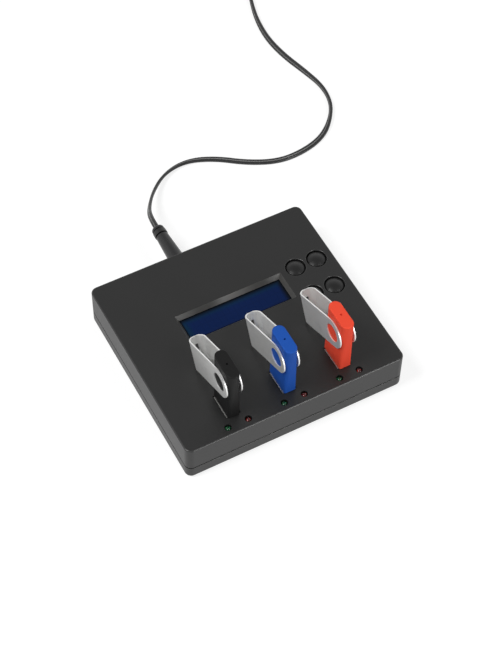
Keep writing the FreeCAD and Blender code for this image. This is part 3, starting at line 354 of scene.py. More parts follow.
@dataclass(frozen=True)
class Moulding:
    """Injection-moulded plastic: a faint mottle, an eroded grain from the tool, uneven gloss."""

    colour: Colour
    roughness: float = 0.45
    shine: float = 0.5
    grain: float = 0.00032
    grain_depth: float = 0.000012
    mottle: float = 0.05
    scatter: float = 0.0

    def make(self, name: str) -> bpy.types.Material:
        """Return the material.

        Args:
            name: The material's name.

        Returns:
            The material.
        """
        graph = Graph.of_material(name)
        cloud = graph.noise(0.018, 3.0)
        fine = graph.noise(self.grain, 2.0)
        pits = graph.grains(self.grain * 1.3)
        dark = tuple(c * (1 - self.mottle) for c in self.colour)
        light = tuple(c * (1 + self.mottle) for c in self.colour)
        handled = graph.noise(0.045, 2.0)
        return graph.surface(
            Base_Color=graph.mixed(cloud * 0.6 + fine * 0.4, dark, light),
            Roughness=self.roughness - 0.05 + 0.06 * handled + 0.05 * fine,
            Specular_IOR_Level=self.shine,
            Subsurface_Weight=self.scatter,
            Subsurface_Scale=0.0006,
            Normal=graph.relief(fine * 0.6 + pits * 0.4, self.grain_depth),
        )


@dataclass(frozen=True)
class CaseMoulding:
    """The case's charcoal plastic: a fine eroded grain, glossier along its rounded edges, with a
    painted highlight on those edges and on the slopes round the display, and painted shade in the parting
    groove."""

    colour: Colour = (0.0125, 0.0125, 0.0124)
    # painted highlight: the rounded edges are painted lighter than the rest of the case
    edge_highlight_colour: Colour = (0.04, 0.04, 0.04)
    # painted highlight: the slopes round the display are painted a paler grey
    bezel_highlight_colour: Colour = (0.066, 0.065, 0.062)
    # painted shade: the parting groove is painted near black, within the height band below
    seam_shade_colour: Colour = (0.004, 0.004, 0.004)
    seam_shade: tuple[float, float] = (0.00996, 0.01072)
    roughness: float = 0.42
    edge_highlight_roughness: float = 0.2
    shine: float = 0.42
    grain: float = 0.00034
    grain_depth: float = 0.000014
    display_centre: tuple[float, float] = (0.0004, 0.0128)
    display_half: tuple[float, float] = (0.0353, 0.0103)

    def make(self, name: str) -> bpy.types.Material:
        """Return the material.

        Args:
            name: The material's name.

        Returns:
            The material.
        """
        graph = Graph.of_material(name)
        x, y, z = graph.axes()
        _, _, upward = graph.facing()
        # painted shade: the parting groove is painted near black and made rougher
        seam_shade = z.above(self.seam_shade[0]) * (1 - z.above(self.seam_shade[1]))
        sloping = upward.ramp(0.06, 0.16) * (1 - upward.ramp(0.92, 0.985))
        round_display = (1 - abs(x - self.display_centre[0]).above(self.display_half[0])) * (
            1 - abs(y - self.display_centre[1]).above(self.display_half[1])
        )
        fine = graph.noise(self.grain, 2.0)
        pits = graph.grains(self.grain * 1.3)
        cloud = graph.noise(0.02, 3.0)
        handled = graph.noise(0.05, 2.0)
        # painted highlight: the rounded edges away from the display are painted lighter, and are also
        # glossier and smoother
        edge_highlight = sloping * (1 - round_display) * (0.55 + 0.45 * graph.noise(0.006, 2.0))
        # painted highlight: the slopes round the display take the paler grey
        bezel_highlight = sloping * round_display
        dark = tuple(c * 0.95 for c in self.colour)
        light = tuple(c * 1.06 for c in self.colour)
        plain = graph.mixed(cloud * 0.5 + fine * 0.5, dark, light)
        edge_lit = graph.mixed(edge_highlight, plain, self.edge_highlight_colour)
        # the plain colour with the painted edge and slope highlights and the painted seam shade
        painted_light_and_shade = graph.mixed(seam_shade, graph.mixed(bezel_highlight, edge_lit, self.bezel_highlight_colour), self.seam_shade_colour)
        eroded = self.roughness - 0.05 + 0.06 * handled + 0.05 * fine
        return graph.surface(
            Base_Color=painted_light_and_shade,
            Roughness=eroded - (self.roughness - self.edge_highlight_roughness) * edge_highlight + 0.5 * seam_shade,
            Specular_IOR_Level=self.shine,
            Normal=graph.relief((fine * 0.6 + pits * 0.4) * (1 - 0.7 * edge_highlight), self.grain_depth),
        )


@dataclass(frozen=True)
class Sheet:
    """Drawn or blanked metal: a satin surface with fine streaks along one axis."""

    colour: Colour
    roughness: float = 0.36
    metal: float = 1.0
    streak: Point = (1.0, 0.05, 1.0)
    streak_width: float = 0.00018
    streak_depth: float = 0.000004
    tarnish: float = 0.08

    def make(self, name: str) -> bpy.types.Material:
        """Return the material.

        Args:
            name: The material's name.

        Returns:
            The material.
        """
        graph = Graph.of_material(name)
        streaks = graph.noise(self.streak_width, 3.0, self.streak)
        cloud = graph.noise(0.012, 3.0)
        dull = tuple(c * (1 - self.tarnish) for c in self.colour)
        return graph.surface(
            Base_Color=graph.mixed(streaks * 0.5 + cloud * 0.5, dull, self.colour),
            Metallic=self.metal,
            Roughness=self.roughness - 0.06 + 0.07 * streaks + 0.06 * cloud,
            Normal=graph.relief(streaks, self.streak_depth),
        )


@dataclass(frozen=True)
class Lens:
    """A lamp's tinted epoxy: clear and glossy, so that the metal inside shows through it."""

    colour: Colour
    clearness: float = 0.88

    def make(self, name: str) -> bpy.types.Material:
        """Return the material.

        Args:
            name: The material's name.

        Returns:
            The material.
        """
        graph = Graph.of_material(name)
        swirl = graph.noise(0.0016, 2.0)
        ripple = graph.noise(0.0009, 2.0)
        return graph.surface(
            Base_Color=graph.mixed(swirl, tuple(c * 0.8 for c in self.colour), self.colour),
            Roughness=0.04 + 0.04 * ripple,
            IOR=1.53,
            Transmission_Weight=self.clearness,
            Normal=graph.relief(ripple, 0.000003),
        )


@dataclass(frozen=True)
class Screen:
    """The display's glass: a dark blue field with a painted teal glow towards its left end and back,
    painted shade along its back edge and right end, faint cells, and a black border."""

    field_colour: Colour = (0.0015, 0.0125, 0.07)
    # the teal of the painted glow
    edge_colour: Colour = (0.0012, 0.021, 0.056)
    border_colour: Colour = (0.0006, 0.0028, 0.0065)
    centre: tuple[float, float] = (0.0004, 0.0128)
    half: tuple[float, float] = (0.0324, 0.0076)
    cells: tuple[int, int] = (16, 2)

    def make(self, name: str) -> bpy.types.Material:
        """Return the material.

        Args:
            name: The material's name.

        Returns:
            The material.
        """
        graph = Graph.of_material(name)
        x, y, _ = graph.axes()
        across = (x - self.centre[0]) / self.half[0]
        along = (y - self.centre[1]) / self.half[1]
        inside = (1 - abs(across).ramp(0.965, 1.01)) * (1 - abs(along).ramp(0.88, 1.03))
        # painted shade: the back edge and the right end fade towards the border colour
        shaded = along.ramp(0.62, 1.0).larger(across.ramp(0.9, 0.99))
        inside = inside * (1 - 0.8 * shaded)
        # painted glow: the field turns teal towards its left end and its back
        glow = (0 - across).ramp(0.84, 0.98).larger(along.ramp(0.35, 0.8) * 0.8)
        pitch_x = 2 * self.half[0] * 0.93 / self.cells[0]
        pitch_y = 2 * self.half[1] * 0.86 / self.cells[1]
        column = abs((x - self.centre[0]) % pitch_x / pitch_x - 0.5) * 2
        row = abs((y - self.centre[1]) % pitch_y / pitch_y - 0.5) * 2
        cell = (1 - column.ramp(0.78, 0.84)) * (1 - row.ramp(0.84, 0.9)) * inside
        sheen = graph.noise(0.02, 2.0)
        plain = graph.mixed(glow, self.field_colour, self.edge_colour)
        lighter = graph.mixed(
            glow, tuple(c * 1.5 for c in self.field_colour), tuple(c * 1.4 for c in self.edge_colour)
        )
        lit = graph.mixed(cell * 0.14 + sheen * 0.12, plain, lighter)
        return graph.surface(
            Base_Color=graph.mixed(inside, self.border_colour, lit),
            Roughness=0.2 + 0.05 * sheen,
            Specular_IOR_Level=0.1,
            Normal=graph.relief(graph.noise(0.004, 1.0), 0.000003),
        )


@dataclass(frozen=True)
class Laminate:
    """A circuit board: green lacquer over copper lines, with tinned spots."""

    lacquer: Colour = (0.008, 0.06, 0.022)
    traced: Colour = (0.018, 0.12, 0.045)
    tin: Colour = (0.55, 0.54, 0.5)

    def make(self, name: str) -> bpy.types.Material:
        """Return the material.

        Args:
            name: The material's name.

        Returns:
            The material.
        """
        graph = Graph.of_material(name)
        x, y, _ = graph.axes()
        lane = abs(x % 0.0024 / 0.0024 - 0.5) * 2
        cross_lane = abs(y % 0.0032 / 0.0032 - 0.5) * 2
        district = graph.noise(0.011, 0.0).above(0.5)
        lines = lane.above(0.72) * district + cross_lane.above(0.78) * (1 - district)
        spots = 1 - graph.grains(0.0042).ramp(0.12, 0.16)
        copper = graph.mixed(lines, self.lacquer, self.traced)
        return graph.surface(
            Base_Color=graph.mixed(spots, copper, self.tin),
            Metallic=spots,
            Roughness=0.32 + 0.12 * graph.noise(0.001),
            Normal=graph.relief(lines * 0.6 + spots, 0.00003),
        )


@dataclass(frozen=True)
class Cable:
    """The lead's soft jacket: satin, with a faint orange peel, and a pale line painted down its groove as
    a highlight.
    """

    colour: Colour = (0.0095, 0.0095, 0.01)
    # painted highlight: the pale colour down the groove
    groove_highlight_colour: Colour = (0.26, 0.26, 0.255)
    roughness: float = 0.24

    def make(self, name: str) -> bpy.types.Material:
        """Return the material.

        Args:
            name: The material's name.

        Returns:
            The material.
        """
        graph = Graph.of_material(name)
        peel = graph.noise(0.0006, 2.0)
        cloud = graph.noise(0.02, 2.0)
        jacket = graph.mixed(cloud, self.colour, tuple(c * 1.35 for c in self.colour))
        # painted highlight: the groove is painted pale, deepest in the middle
        groove_highlight = graph.marked(GROOVE).ramp(0.05, 0.6)
        return graph.surface(
            Base_Color=graph.mixed(groove_highlight * (0.75 + 0.25 * cloud), jacket, self.groove_highlight_colour),
            Roughness=self.roughness + 0.1 * (cloud - 0.5) + 0.05 * peel,
            Specular_IOR_Level=0.5,
            Normal=graph.relief(peel, 0.000008),
        )


Finish = Union[Moulding, CaseMoulding, Sheet, Lens, Screen, Laminate, Cable]

NICKEL = Sheet((0.62, 0.6, 0.56), roughness=0.3)

FINISHES: dict[str, Finish] = {
    "case_plastic": CaseMoulding(),
    "rubber": Moulding(
        (0.012, 0.012, 0.012), roughness=0.85, shine=0.25, grain=0.0005, grain_depth=0.00003
    ),
    "screw_steel": Sheet((0.5, 0.5, 0.5), roughness=0.34, streak=(1.0, 1.0, 0.2)),
    "circuit_board": Laminate(),
    "display_frame_metal": Sheet((0.05, 0.05, 0.052), roughness=0.45, metal=0.6),
    "display_glass": Screen(),
    "display_light_box": Moulding((0.62, 0.63, 0.6), roughness=0.5, scatter=0.2),
    "header_plastic": Moulding((0.012, 0.012, 0.012), roughness=0.5),
    "green_lamp": Lens((0.04, 0.34, 0.14)),
    "red_lamp": Lens((0.42, 0.035, 0.03)),
    "spacer_plastic": Moulding((0.02, 0.02, 0.02), roughness=0.6),
    "switch_plastic": Moulding((0.02, 0.02, 0.021), roughness=0.5),
    "button_plastic": Moulding((0.006, 0.006, 0.006), roughness=0.3, shine=0.4, grain=0.0004),
    "jack_plastic": Moulding((0.01, 0.01, 0.01), roughness=0.4),
    "contact_metal": NICKEL,
    "capacitor_sleeve": Moulding((0.02, 0.024, 0.06), roughness=0.3, grain_depth=0.000005),
    "chip_plastic": Moulding((0.014, 0.014, 0.015), roughness=0.6, grain=0.0002),
    "crystal_can": Sheet((0.66, 0.66, 0.66), roughness=0.26),
    "socket_metal": Sheet((0.68, 0.67, 0.65), roughness=0.26, metal=0.8, streak=(1.0, 1.0, 0.05)),
    "socket_tongue_plastic": Moulding((0.55, 0.55, 0.53), roughness=0.5),
    "black_drive_plastic": Moulding((0.0115, 0.0115, 0.0115), roughness=0.5, shine=0.12),
    "blue_drive_plastic": Moulding(from_screen(37, 88, 180), roughness=0.5, shine=0.08),
    "red_drive_plastic": Moulding(from_screen(250, 84, 60), roughness=0.5, shine=0.08),
    "plug_metal": Sheet((0.64, 0.63, 0.6), roughness=0.26, streak=(1.0, 1.0, 0.05)),
    "plug_insert_plastic": Moulding((0.02, 0.02, 0.02), roughness=0.5),
    "cover_metal": Sheet(
        (0.87, 0.87, 0.86), roughness=0.45, metal=0.62, streak=(1.0, 0.04, 0.3), tarnish=0.05
    ),
    "lead_plastic": Cable(),
    "adapter_plastic": Moulding(
        (0.012, 0.012, 0.012), roughness=0.5, grain=0.0006, grain_depth=0.00004
    ),
    "blade_metal": NICKEL,
}


class Paints:
    """Makes each finish once and hands it out by its slot's name."""

    def __init__(self) -> None:
        """Start with no material made."""
        self._made: dict[str, bpy.types.Material] = {}

    def __getitem__(self, slot: str) -> bpy.types.Material:
        """Return the material of a slot, made at its first use."""
        if slot not in self._made:
            self._made[slot] = FINISHES[slot].make(slot)
        return self._made[slot]


# ---------------------------------------------------------------------------------------------
# Pieces


@dataclass
class Workshop:
    """What every sub-assembly needs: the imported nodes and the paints."""

    frame: dict
    paints: Paints = field(default_factory=Paints)

    def dress(self, node: str) -> None:
        """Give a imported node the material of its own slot.

        Args:
            node: The node's name.
        """
        piece = self.frame["nodes"][node]
        for entry in piece.material_slots:
            slot = entry.material.name.split(".")[0]
            entry.material = self.paints[slot]
        log.info("%s: dressed", node)

    def piece(
        self,
        name: str,
        vertices: Sequence[Point],
        faces: Sequence[Sequence[int]],
        slot: str,
        body: str,
        crease: float = 40.0,
    ) -> bpy.types.Object:
        """Make a new mesh piece.

        Args:
            name: The piece's name.
            vertices: Its corners, in metres.
            faces: Its faces, as numbers of corners.
            slot: The material slot it is finished from.
            body: The body it rides on.
            crease: The angle in degrees over which an edge stays sharp.

        Returns:
            The piece.
        """
        mesh = bpy.data.meshes.new(name)
        mesh.from_pydata([tuple(v) for v in vertices], [], [tuple(f) for f in faces])
        mesh.validate()
        shaped = bmesh.new()
        shaped.from_mesh(mesh)
        bmesh.ops.recalc_face_normals(shaped, faces=shaped.faces)
        shaped.to_mesh(mesh)
        shaped.free()
        mesh.shade_smooth()
        mesh.set_sharp_from_angle(angle=math.radians(crease))
        mesh.materials.append(self.paints[slot])
        piece = bpy.data.objects.new(name, mesh)
        bpy.context.scene.collection.objects.link(piece)
        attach(piece, body)
        log.info("%s: %d faces on %s", name, len(mesh.polygons), body)
        return piece

    def eased(self, node: str, name: str, slot: str, body: str, radius: float) -> bpy.types.Object:
        """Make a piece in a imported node's shape, with its sharp edges rounded, to stand for it.

        Args:
            node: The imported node.
            name: The new piece's name.
            slot: The material slot it is finished from.
            body: The body it rides on.
            radius: How far the rounding reaches from each edge, in metres.

        Returns:
            The piece.
        """
        draft = bpy.data.objects.new("draft", self.frame["nodes"][node].data.copy())
        bpy.context.scene.collection.objects.link(draft)
        shaped = bmesh.new()
        shaped.from_mesh(draft.data)
        bmesh.ops.remove_doubles(shaped, verts=shaped.verts, dist=WELD_DISTANCE)
        bmesh.ops.dissolve_limit(
            shaped, angle_limit=FLAT_WITHIN, verts=shaped.verts, edges=shaped.edges
        )
        for face in shaped.faces:
            face.smooth = True
        shaped.to_mesh(draft.data)
        shaped.free()
        bevel = draft.modifiers.new("rounding", "BEVEL")
        bevel.width, bevel.segments = radius, 3
        bevel.limit_method, bevel.angle_limit = "ANGLE", SHARP_OVER
        bevel.harden_normals = True
        draft.modifiers.new("even", "WEIGHTED_NORMAL").keep_sharp = True
        finished = draft.evaluated_get(bpy.context.evaluated_depsgraph_get())
        mesh = bpy.data.meshes.new_from_object(finished)
        bpy.data.objects.remove(draft)
        mesh.name = name
        mesh.materials.clear()
        mesh.materials.append(self.paints[slot])
        piece = bpy.data.objects.new(name, mesh)
        bpy.context.scene.collection.objects.link(piece)
        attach(piece, body)
        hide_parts(node)
        log.info("%s: %d faces on %s, for %s", name, len(mesh.polygons), body, node)
        return piece


@dataclass
class SwivelCovers:
    """The drives' swivel covers: folded steel strips whose sheared edges were tumbled round."""

    shop: Workshop
    edge_round: float = 0.22 * MM

    def build(self) -> None:
        """Make the three covers."""
        for side in SIDES:
            node = f"swivel_cover_{side}"
            self.shop.eased(node, f"tumbled_cover_{side}", "cover_metal", f"cover_{side}", self.edge_round)


@dataclass
class Sockets:
    """The three upright sockets, whose flared mouths have rolled lips that catch the light."""

    shop: Workshop
    lip_round: float = 0.08 * MM

    def build(self) -> None:
        """Make the three sockets' shells."""
        for side in SIDES:
            node = f"usb_socket_{side}"
            self.shop.eased(node, f"rolled_socket_{side}", "socket_metal", "case", self.lip_round)


@dataclass
class LampFrames:
    """What stands inside each lamp's tinted epoxy: the cup with its chip, and the anvil beside it."""

    shop: Workshop
    lamp_y: float = -58.4
    port_pitch: float = 35.7
    lamp_offset: float = 6.4
    foot: float = 23.6
    post_width: float = 0.5
    cup_foot: float = 25.7
    cup_top: float = 26.8
    cup_base: float = 0.35
    cup_radius: float = 0.75
    cup_flare: float = 0.1
    cup_rim: float = 0.15
    cup_lip: float = 0.12
    cup_shift: float = 0.2
    bowl_radius: float = 0.3
    bowl_depth: float = 0.55
    anvil_top: float = 27.0
    anvil_half: tuple[float, float] = (0.45, 0.35)
    anvil_shoulder: float = 0.35
    anvil_bevel: tuple[float, float] = (0.1, 0.08)
    spread: float = 0.72
    around: int = 20

    def build(self) -> None:
        """Make the metal frames of all six lamps."""
        for colour, way in (("green", -1), ("red", 1)):
            for side, port in zip(SIDES, (-1, 0, 1)):
                x = port * self.port_pitch + way * self.lamp_offset
                self._frame(f"{colour}_lamp_frame_{side}", x)

    def _frame(self, name: str, x: float) -> None:
        """Make one lamp's two posts.

        Args:
            name: The piece's name.
            x: The lamp's middle, in mm.
        """
        vertices: list[Point] = []
        faces: list[tuple[int, ...]] = []
        cup = [
            (0.0, self.foot),
            (self.post_width / 2, self.foot),
            (self.post_width / 2, self.cup_foot),
            (self.cup_base, self.cup_foot + self.cup_flare),
            (self.cup_radius, self.cup_top - self.cup_rim),
            (self.cup_radius, self.cup_top),
            (self.cup_radius - self.cup_lip, self.cup_top),
            (self.bowl_radius, self.cup_top - self.bowl_depth),
            (0.0, self.cup_top - self.bowl_depth),
        ]
        self._turned(vertices, faces, x - self.spread / 2 - self.cup_shift, cup)
        centre = x + self.spread
        wide, deep = self.anvil_half
        bevel, bevel_height = self.anvil_bevel
        levels = [
            (self.foot, self.post_width / 2, self.post_width / 2),
            (self.cup_foot, self.post_width / 2, self.post_width / 2),
            (self.cup_top - self.anvil_shoulder, wide, deep),
            (self.anvil_top - bevel_height, wide, deep),
            (self.anvil_top, wide - bevel, deep - bevel),
        ]
        first = len(vertices)
        for z, a, b in levels:
            for sx, sy in ((-1, -1), (1, -1), (1, 1), (-1, 1)):
                vertices.append(((centre + sx * a) * MM, (self.lamp_y + sy * b) * MM, z * MM))
        for ring in range(len(levels) - 1):
            for k in range(4):
                a, b = first + ring * 4 + k, first + ring * 4 + (k + 1) % 4
                faces.append((a, b, b + 4, a + 4))
        faces.append(tuple(range(first + 3, first - 1, -1)))
        faces.append(tuple(range(len(vertices) - 4, len(vertices))))
        self.shop.piece(name, vertices, faces, "contact_metal", "case", 30.0)

    def _turned(
        self,
        vertices: list[Point],
        faces: list[tuple[int, ...]],
        x: float,
        profile: Sequence[tuple[float, float]],
    ) -> None:
        """Add a turned form to a mesh.

        Args:
            vertices: The mesh's corners, added to.
            faces: The mesh's faces, added to.
            x: The form's axis, in mm.
            profile: Its radius and height from the foot on the axis to the top on the axis, in mm.
        """
        first = len(vertices)
        vertices.append((x * MM, self.lamp_y * MM, profile[0][1] * MM))
        for radius, z in profile[1:-1]:
            for k in range(self.around):
                angle = math.tau * k / self.around
                spot = (x + radius * math.cos(angle), self.lamp_y + radius * math.sin(angle), z)
                vertices.append(tuple(c * MM for c in spot))
        last = len(vertices)
        vertices.append((x * MM, self.lamp_y * MM, profile[-1][1] * MM))
        rows = len(profile) - 2
        for k in range(self.around):
            after = (k + 1) % self.around
            faces.append((first, first + 1 + after, first + 1 + k))
            for row in range(rows - 1):
                a, b = first + 1 + row * self.around + k, first + 1 + row * self.around + after
                faces.append((a, b, b + self.around, a + self.around))
            top = last - self.around
            faces.append((top + k, top + after, last))


# The stretch of lead between the plug and the coil: where it goes, in mm, and how far the flat lead is
# turned on its edge there, in degrees.
LEAD_RUN: list[tuple[float, float, float, float]] = [
    (-11.5, 92.3, 19.5, 55),
    (-11.5, 101.5, 19.5, 60),
    (-6.8, 114.0, 12.5, 78),
    (4.0, 130.0, 6.0, 75),
    (18.3, 142.7, 2.3, 40),
    (35.0, 146.5, 1.2, 8),
    (52.3, 140.2, 1.0, 0),
    (69.6, 127.2, 1.0, 0),
    (88.0, 119.0, 1.0, 0),
    (106.0, 119.2, 1.0, 0),
    (122.0, 123.9, 1.3, 22),
    (133.0, 133.2, 1.8, 68),
    (141.7, 145.8, 1.9, 88),
    (144.2, 162.0, 1.9, 84),
    (140.1, 180.0, 1.85, 66),
    (135.0, 198.0, 1.8, 58),
    (132.5, 217.0, 1.8, 62),
    (134.5, 236.5, 1.85, 75),
    (140.0, 255.0, 1.9, 90),
]


@dataclass
class PowerLead:
    """The flat twin lead: from the plug across the table, through its put-away coil to the adapter."""

    shop: Workshop
    length: float = 1.54
    width: float = 3.8
    thickness: float = 2.0
    web: float = 1.0
    groove_half: float = 0.45
    wire_steps: int = 6
    coil_centre: Point = (130.0, 306.0, 1.9)
    coil_radius: float = 30.0
    coil_pitch: float = 4.3
    coil_heading: float = -27.0
    inward: int = 8
    outward: int = 7
    points_a_half_turn: int = 8
    entry_run: float = 17.0
    exit_run: float = 13.0
    coil_tilt: float = 90.0
    tail_tilts: tuple[float, ...] = (70.0, 35.0, 0.0)
    tail: tuple[Point, ...] = ((114.6, 345.2, 4.0), (100.0, 348.0, 5.0), (87.6, 348.0, 5.0))
    samples: int = 10

    def build(self) -> None:
        controls, edgewise = self._controls()
        rings = self._spline(controls)
        turned = self._turned(rings, controls, edgewise)
        vertices, faces = self._tube(rings, turned)
        lead = self.shop.piece("flat_lead", vertices, faces, "lead_plastic", "power_lead", 50.0)
        self._mark_groove(lead.data)
        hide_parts("power_cord", "cord_coil", "cord_tail")
        laid = sum((b - a).length for a, b in zip(rings, rings[1:]))
        [
                self.shop.frame["nodes"][n]
                for n in (
                    "plug_overmould",
                    "plug_barrel",
                    "adapter_sleeve",
                    "adapter_body",
                    "adapter_blades",
                )
            ]
        log.info("flat_lead: %.3f m long", laid)

    def _controls(self) -> tuple[list[Vector], list[float]]:
        """Lay out the route.

        Returns:
            The control points in mm, and how far the lead is on its edge at each, in degrees.
        """
        heading = math.radians(self.coil_heading)
        along = Vector((math.cos(heading), math.sin(heading), 0))
        across = Vector((-math.sin(heading), math.cos(heading), 0))
        centre = Vector(self.coil_centre)
        start = centre + along * self.coil_radius
        points = [Vector(p[:3]) for p in LEAD_RUN]
        tilts = [float(p[3]) for p in LEAD_RUN]
        points += [start - across * (self.width + self.entry_run), start - across * self.width]
        turns, end = self._coil(centre, along, across)
        points += turns
        points += [end - along * self.width, end - along * (self.width + self.exit_run)]
        points += [Vector(p) for p in self.tail]
        in_coil = len(points) - len(tilts) - len(self.tail_tilts)
        tilts += [self.coil_tilt] * in_coil + list(self.tail_tilts)
        return points, tilts

    def _coil(self, centre: Vector, along: Vector, across: Vector) -> tuple[list[Vector], Vector]:
        """Lay out the coil: in on the table, up a layer, and out on top.

        Args:
            centre: The coil's middle on its lower layer.
            along: The way from the middle to where the coil begins.
            across: The way that the coil sets off.

        Returns:
            The control points, and where the coil ends.
        """
        step = self.coil_pitch / 2
        core = self.coil_radius - self.inward * step
        radii = [self.coil_radius - k * step for k in range(self.inward)]
        radii += [core] + [core + (k + 1) * step for k in range(self.outward)]
        part = math.pi / self.points_a_half_turn
        spread = 1 / (0.75 + 0.25 * math.cos(part))
        points: list[Vector] = []
        here = centre + along * self.coil_radius
        height = 0.0
        for turn, radius in enumerate(radii):
            way = along if turn % 2 == 0 else -along
            side = across if turn % 2 == 0 else -across
            middle = here - way * radius
            climbing = turn == self.inward
            for k in range(self.points_a_half_turn):
                angle = k * part
                rise = self.coil_pitch * k / self.points_a_half_turn if climbing else 0.0
                spot = middle + (way * math.cos(angle) + side * math.sin(angle)) * (radius * spread)
                spot.z = centre.z + height + rise
                points.append(spot)
            if climbing:
                height = self.coil_pitch
            here = middle - way * radius
        way = along if len(radii) % 2 == 0 else -along
        side = across if len(radii) % 2 == 0 else -across
        for k in range(self.points_a_half_turn // 2):
            angle = k * part
            spot = centre + way * (self.coil_radius * math.cos(angle) * spread)
            spot += side * (self.coil_radius * math.sin(angle) * spread)
            spot.z = centre.z + height
            points.append(spot)
        end = centre + side * self.coil_radius
        end.z = centre.z + height
        return points, end

    def _spline(self, controls: list[Vector]) -> list[Vector]:
        """Run a smooth spline through the route.

        Args:
            controls: The control points, in mm.

        Returns:
            Points along the spline, in metres.
        """
        data = bpy.data.curves.new("lead_route", "CURVE")
        data.dimensions = "3D"
        spline = data.splines.new("NURBS")
        spline.points.add(len(controls) - 1)
        for spot, control in zip(spline.points, controls):
            spot.co = (*(control * MM), 1.0)
        spline.order_u = 3
        spline.use_endpoint_u = True
        spline.resolution_u = self.samples
        guide = bpy.data.objects.new("lead_route", data)
        traced = bpy.data.meshes.new_from_object(guide)
        rings = [v.co.copy() for v in traced.vertices]
        bpy.data.objects.remove(guide)
        bpy.data.meshes.remove(traced)
        return rings

    def _turned(
        self, rings: list[Vector], controls: list[Vector], edgewise: list[float]
    ) -> list[float]:
        """Say how far each ring is on its edge.

        Args:
            rings: Points along the spline, in metres.
            controls: The control points, in mm.
            edgewise: How far the lead is on its edge at each control point, in degrees.

        Returns:
            The same for each ring, in radians.
        """
        count = len(controls)
        share = np.linspace(0, count - 1, len(rings))
        return list(np.radians(np.interp(share, range(count), edgewise)))

    def _outline(self) -> list[tuple[float, float]]:
        """Return the lead's section in mm: two round wires side by side, with a web between."""
        radius = self.thickness / 2
        lobe = self.width / 2 - radius
        meeting = math.asin(lobe / radius)
        right_top = []
        for k in range(-self.wire_steps, self.wire_steps + 1):
            angle = meeting * k / self.wire_steps if k < 0 else math.pi / 2 * k / self.wire_steps
            height = max(radius * math.cos(angle), self.web / 2)
            right_top.append((lobe + radius * math.sin(angle), height))
        right_top[0] = (0.0, self.web / 2)
        left_top = [(-a, b) for a, b in reversed(right_top[1:])]
        top = left_top + right_top
        return top + [(-a, -b) for a, b in top[1:-1]]

    def _mark_groove(self, mesh: bpy.types.Mesh) -> None:
        """Note at each corner of the lead's mesh how far down in the groove it lies.

        Args:
            mesh: The lead's mesh, as the sweep made it.
        """
        section = self._outline()
        depths = [max(0.0, 1 - abs(across) / self.groove_half) for across, _ in section]
        marks = mesh.attributes.new(GROOVE, "FLOAT", "POINT")
        marks.data.foreach_set("value", depths * (len(mesh.vertices) // len(section)))

    def _tube(
        self, rings: list[Vector], turned: list[float]
    ) -> tuple[list[Point], list[tuple[int, ...]]]:
        """Sweep the section along the rings.

        Args:
            rings: Points along the spline, in metres.
            turned: How far each ring is on its edge, in radians.

        Returns:
            The tube's corners and faces.
        """
        section = self._outline()
        count = len(section)
        vertices: list[Point] = []
        for i, ring in enumerate(rings):
            ahead, behind = rings[min(i + 1, len(rings) - 1)], rings[max(i - 1, 0)]
            way = (ahead - behind).normalized()
            flat = way.cross(Vector((0, 0, 1))).normalized()
            raised = flat.cross(way)
            wide = flat * math.cos(turned[i]) + raised * math.sin(turned[i])
            thin = raised * math.cos(turned[i]) - flat * math.sin(turned[i])
            for a, b in section:
                spot = ring + (wide * a + thin * b) * MM
                spot.z = max(spot.z, 0.0)
                vertices.append(tuple(spot))
        faces: list[tuple[int, ...]] = []
        for i in range(len(rings) - 1):
            for k in range(count):
                a, b = i * count + k, i * count + (k + 1) % count
                faces.append((a, b, b + count, a + count))
        faces.append(tuple(range(count)))
        faces.append(tuple(reversed(range((len(rings) - 1) * count, len(rings) * count))))
        return vertices, faces


# ---------------------------------------------------------------------------------------------
# Studio


@dataclass
class Softbox:
    """A large lamp, aimed at a point."""

    name: str
    place: Point
    size: tuple[float, float]
    power: float
    colour: Colour = WHITE
    aim: Point = (0.0, 0.0, 0.02)

    def build(self) -> None:
        """Hang the lamp."""
        data = bpy.data.lights.new(self.name, "AREA")
        data.shape = "RECTANGLE"
        data.size, data.size_y = self.size
        data.energy = self.power
        data.color = self.colour
        lamp = bpy.data.objects.new(self.name, data)
        lamp.location = self.place
        towards = Vector(self.aim) - Vector(self.place)
        lamp.rotation_euler = towards.to_track_quat("-Z", "Y").to_euler()
        bpy.context.scene.collection.objects.link(lamp)


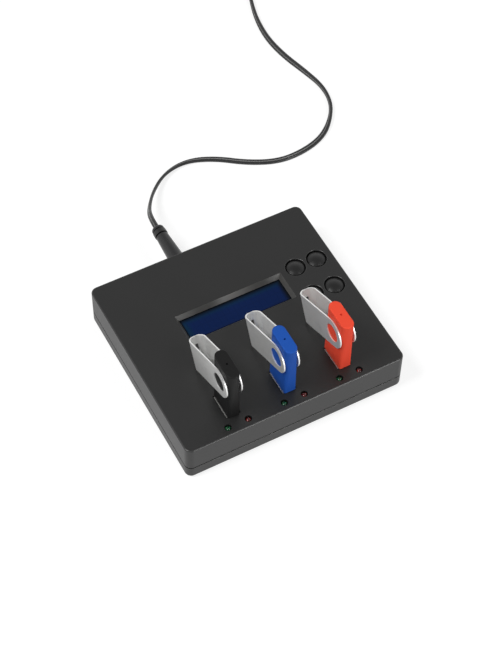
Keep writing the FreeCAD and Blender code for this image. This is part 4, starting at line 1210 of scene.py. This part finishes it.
@dataclass
class Studio:
    """The pale floor, the world, the lamps and the camera."""

    floor_size: float = 8.0
    camera_place: Point = (-0.29193246, -0.52572578, 0.87069056)
    camera_right: Point = (0.88203582, -0.47094993, 0.01479775)
    camera_up: Point = (0.3758185, 0.72211433, 0.58078511)
    camera_back: Point = (-0.28420637, -0.506712, 0.81392241)
    focal_length: float = 99.726
    film_height: float = 36.0
    background_level: float = 0.78
    floor_tone: float = 0.36
    bounce: float = 0.5
    world_level: float = 0.2
    zenith_level: float = 0.55
    lamps: tuple[Softbox, ...] = (
        Softbox("left_above", (-0.8, 0.05, 1.3), (0.5, 0.5), 12.0),
        Softbox("front_above", (0.58, -0.66, 1.21), (0.28, 0.28), 3.0),
        Softbox("front", (0.5, -1.5, 0.5), (0.42, 0.75), 9.0),
    )

    def build(self) -> None:
        """Set up everything around the object."""
        bpy.context.scene.view_settings.view_transform = "Standard"
        self._floor()
        self._world()
        for lamp in self.lamps:
            lamp.build()
        self._camera()

    def _floor(self) -> None:
        """Lay the floor, white where nothing shades it."""
        half = self.floor_size / 2
        mesh = bpy.data.meshes.new("floor")
        corners = [(x * half, y * half, -0.0002) for x, y in ((-1, -1), (1, -1), (1, 1), (-1, 1))]
        mesh.from_pydata(corners, [], [(0, 1, 2, 3)])
        floor = bpy.data.objects.new("floor", mesh)
        bpy.context.scene.collection.objects.link(floor)
        graph = Graph.of_material("floor_white")
        plain = graph.add("ShaderNodeBsdfDiffuse", {}, {"Color": (self.bounce,) * 3})
        shaded = graph.add("ShaderNodeBsdfDiffuse", {}, {"Color": (self.floor_tone,) * 3})
        glow = graph.add("ShaderNodeEmission", {}, {"Strength": self.background_level})
        bright = graph.add("ShaderNodeAddShader", {}, {0: shaded.outputs[0], 1: glow.outputs[0]})
        both = graph.add(
            "ShaderNodeMixShader",
            {},
            {0: graph.seen_directly(), 1: plain.outputs[0], 2: bright.outputs[0]},
        )
        graph.add("ShaderNodeOutputMaterial", {}, {"Surface": both.outputs[0]})
        mesh.materials.append(graph.owner)

    def _world(self) -> None:
        """Light everything softly from all round, with a white background that dims overhead."""
        world = bpy.data.worlds.new("studio")
        bpy.context.scene.world = world
        graph = Graph(world)
        direction = graph.add("ShaderNodeTexCoord").outputs["Generated"]
        parts = graph.add("ShaderNodeSeparateXYZ", {}, {0: direction})
        height = Signal(graph, parts.outputs["Z"])
        level = 1 - (1 - self.zenith_level) * height.ramp(0.45, 0.9)
        dim = graph.add("ShaderNodeBackground", {}, {"Color": WHITE, "Strength": self.world_level})
        bright = graph.add("ShaderNodeBackground", {}, {"Color": WHITE, "Strength": level})
        both = graph.add(
            "ShaderNodeMixShader",
            {},
            {0: graph.seen_directly(), 1: dim.outputs[0], 2: bright.outputs[0]},
        )
        graph.add("ShaderNodeOutputWorld", {}, {"Surface": both.outputs[0]})

    def _camera(self) -> None:
        """Place the camera where the photograph was taken."""
        data = bpy.data.cameras.new("portrait")
        data.sensor_fit = "VERTICAL"
        data.sensor_height = self.film_height
        data.lens = self.focal_length
        data.clip_start, data.clip_end = 0.01, 20.0
        camera = bpy.data.objects.new("portrait", data)
        columns = [self.camera_right, self.camera_up, self.camera_back, self.camera_place]
        camera.matrix_world = Matrix([[c[row] for c in columns] for row in range(3)] + [[0, 0, 0, 1]])
        bpy.context.scene.collection.objects.link(camera)
        bpy.context.scene.camera = camera


# ---------------------------------------------------------------------------------------------


def main() -> None:
    """Dress the model and set the scene."""
    logging.basicConfig(level=logging.INFO, format="%(name)s: %(message)s")
    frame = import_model()
    shop = Workshop(frame)
    for node in sorted(frame["nodes"]):
        shop.dress(node)
    SwivelCovers(shop).build()
    Sockets(shop).build()
    LampFrames(shop).build()
    PowerLead(shop).build()
    Studio().build()


if __name__ == "__main__":
    main()
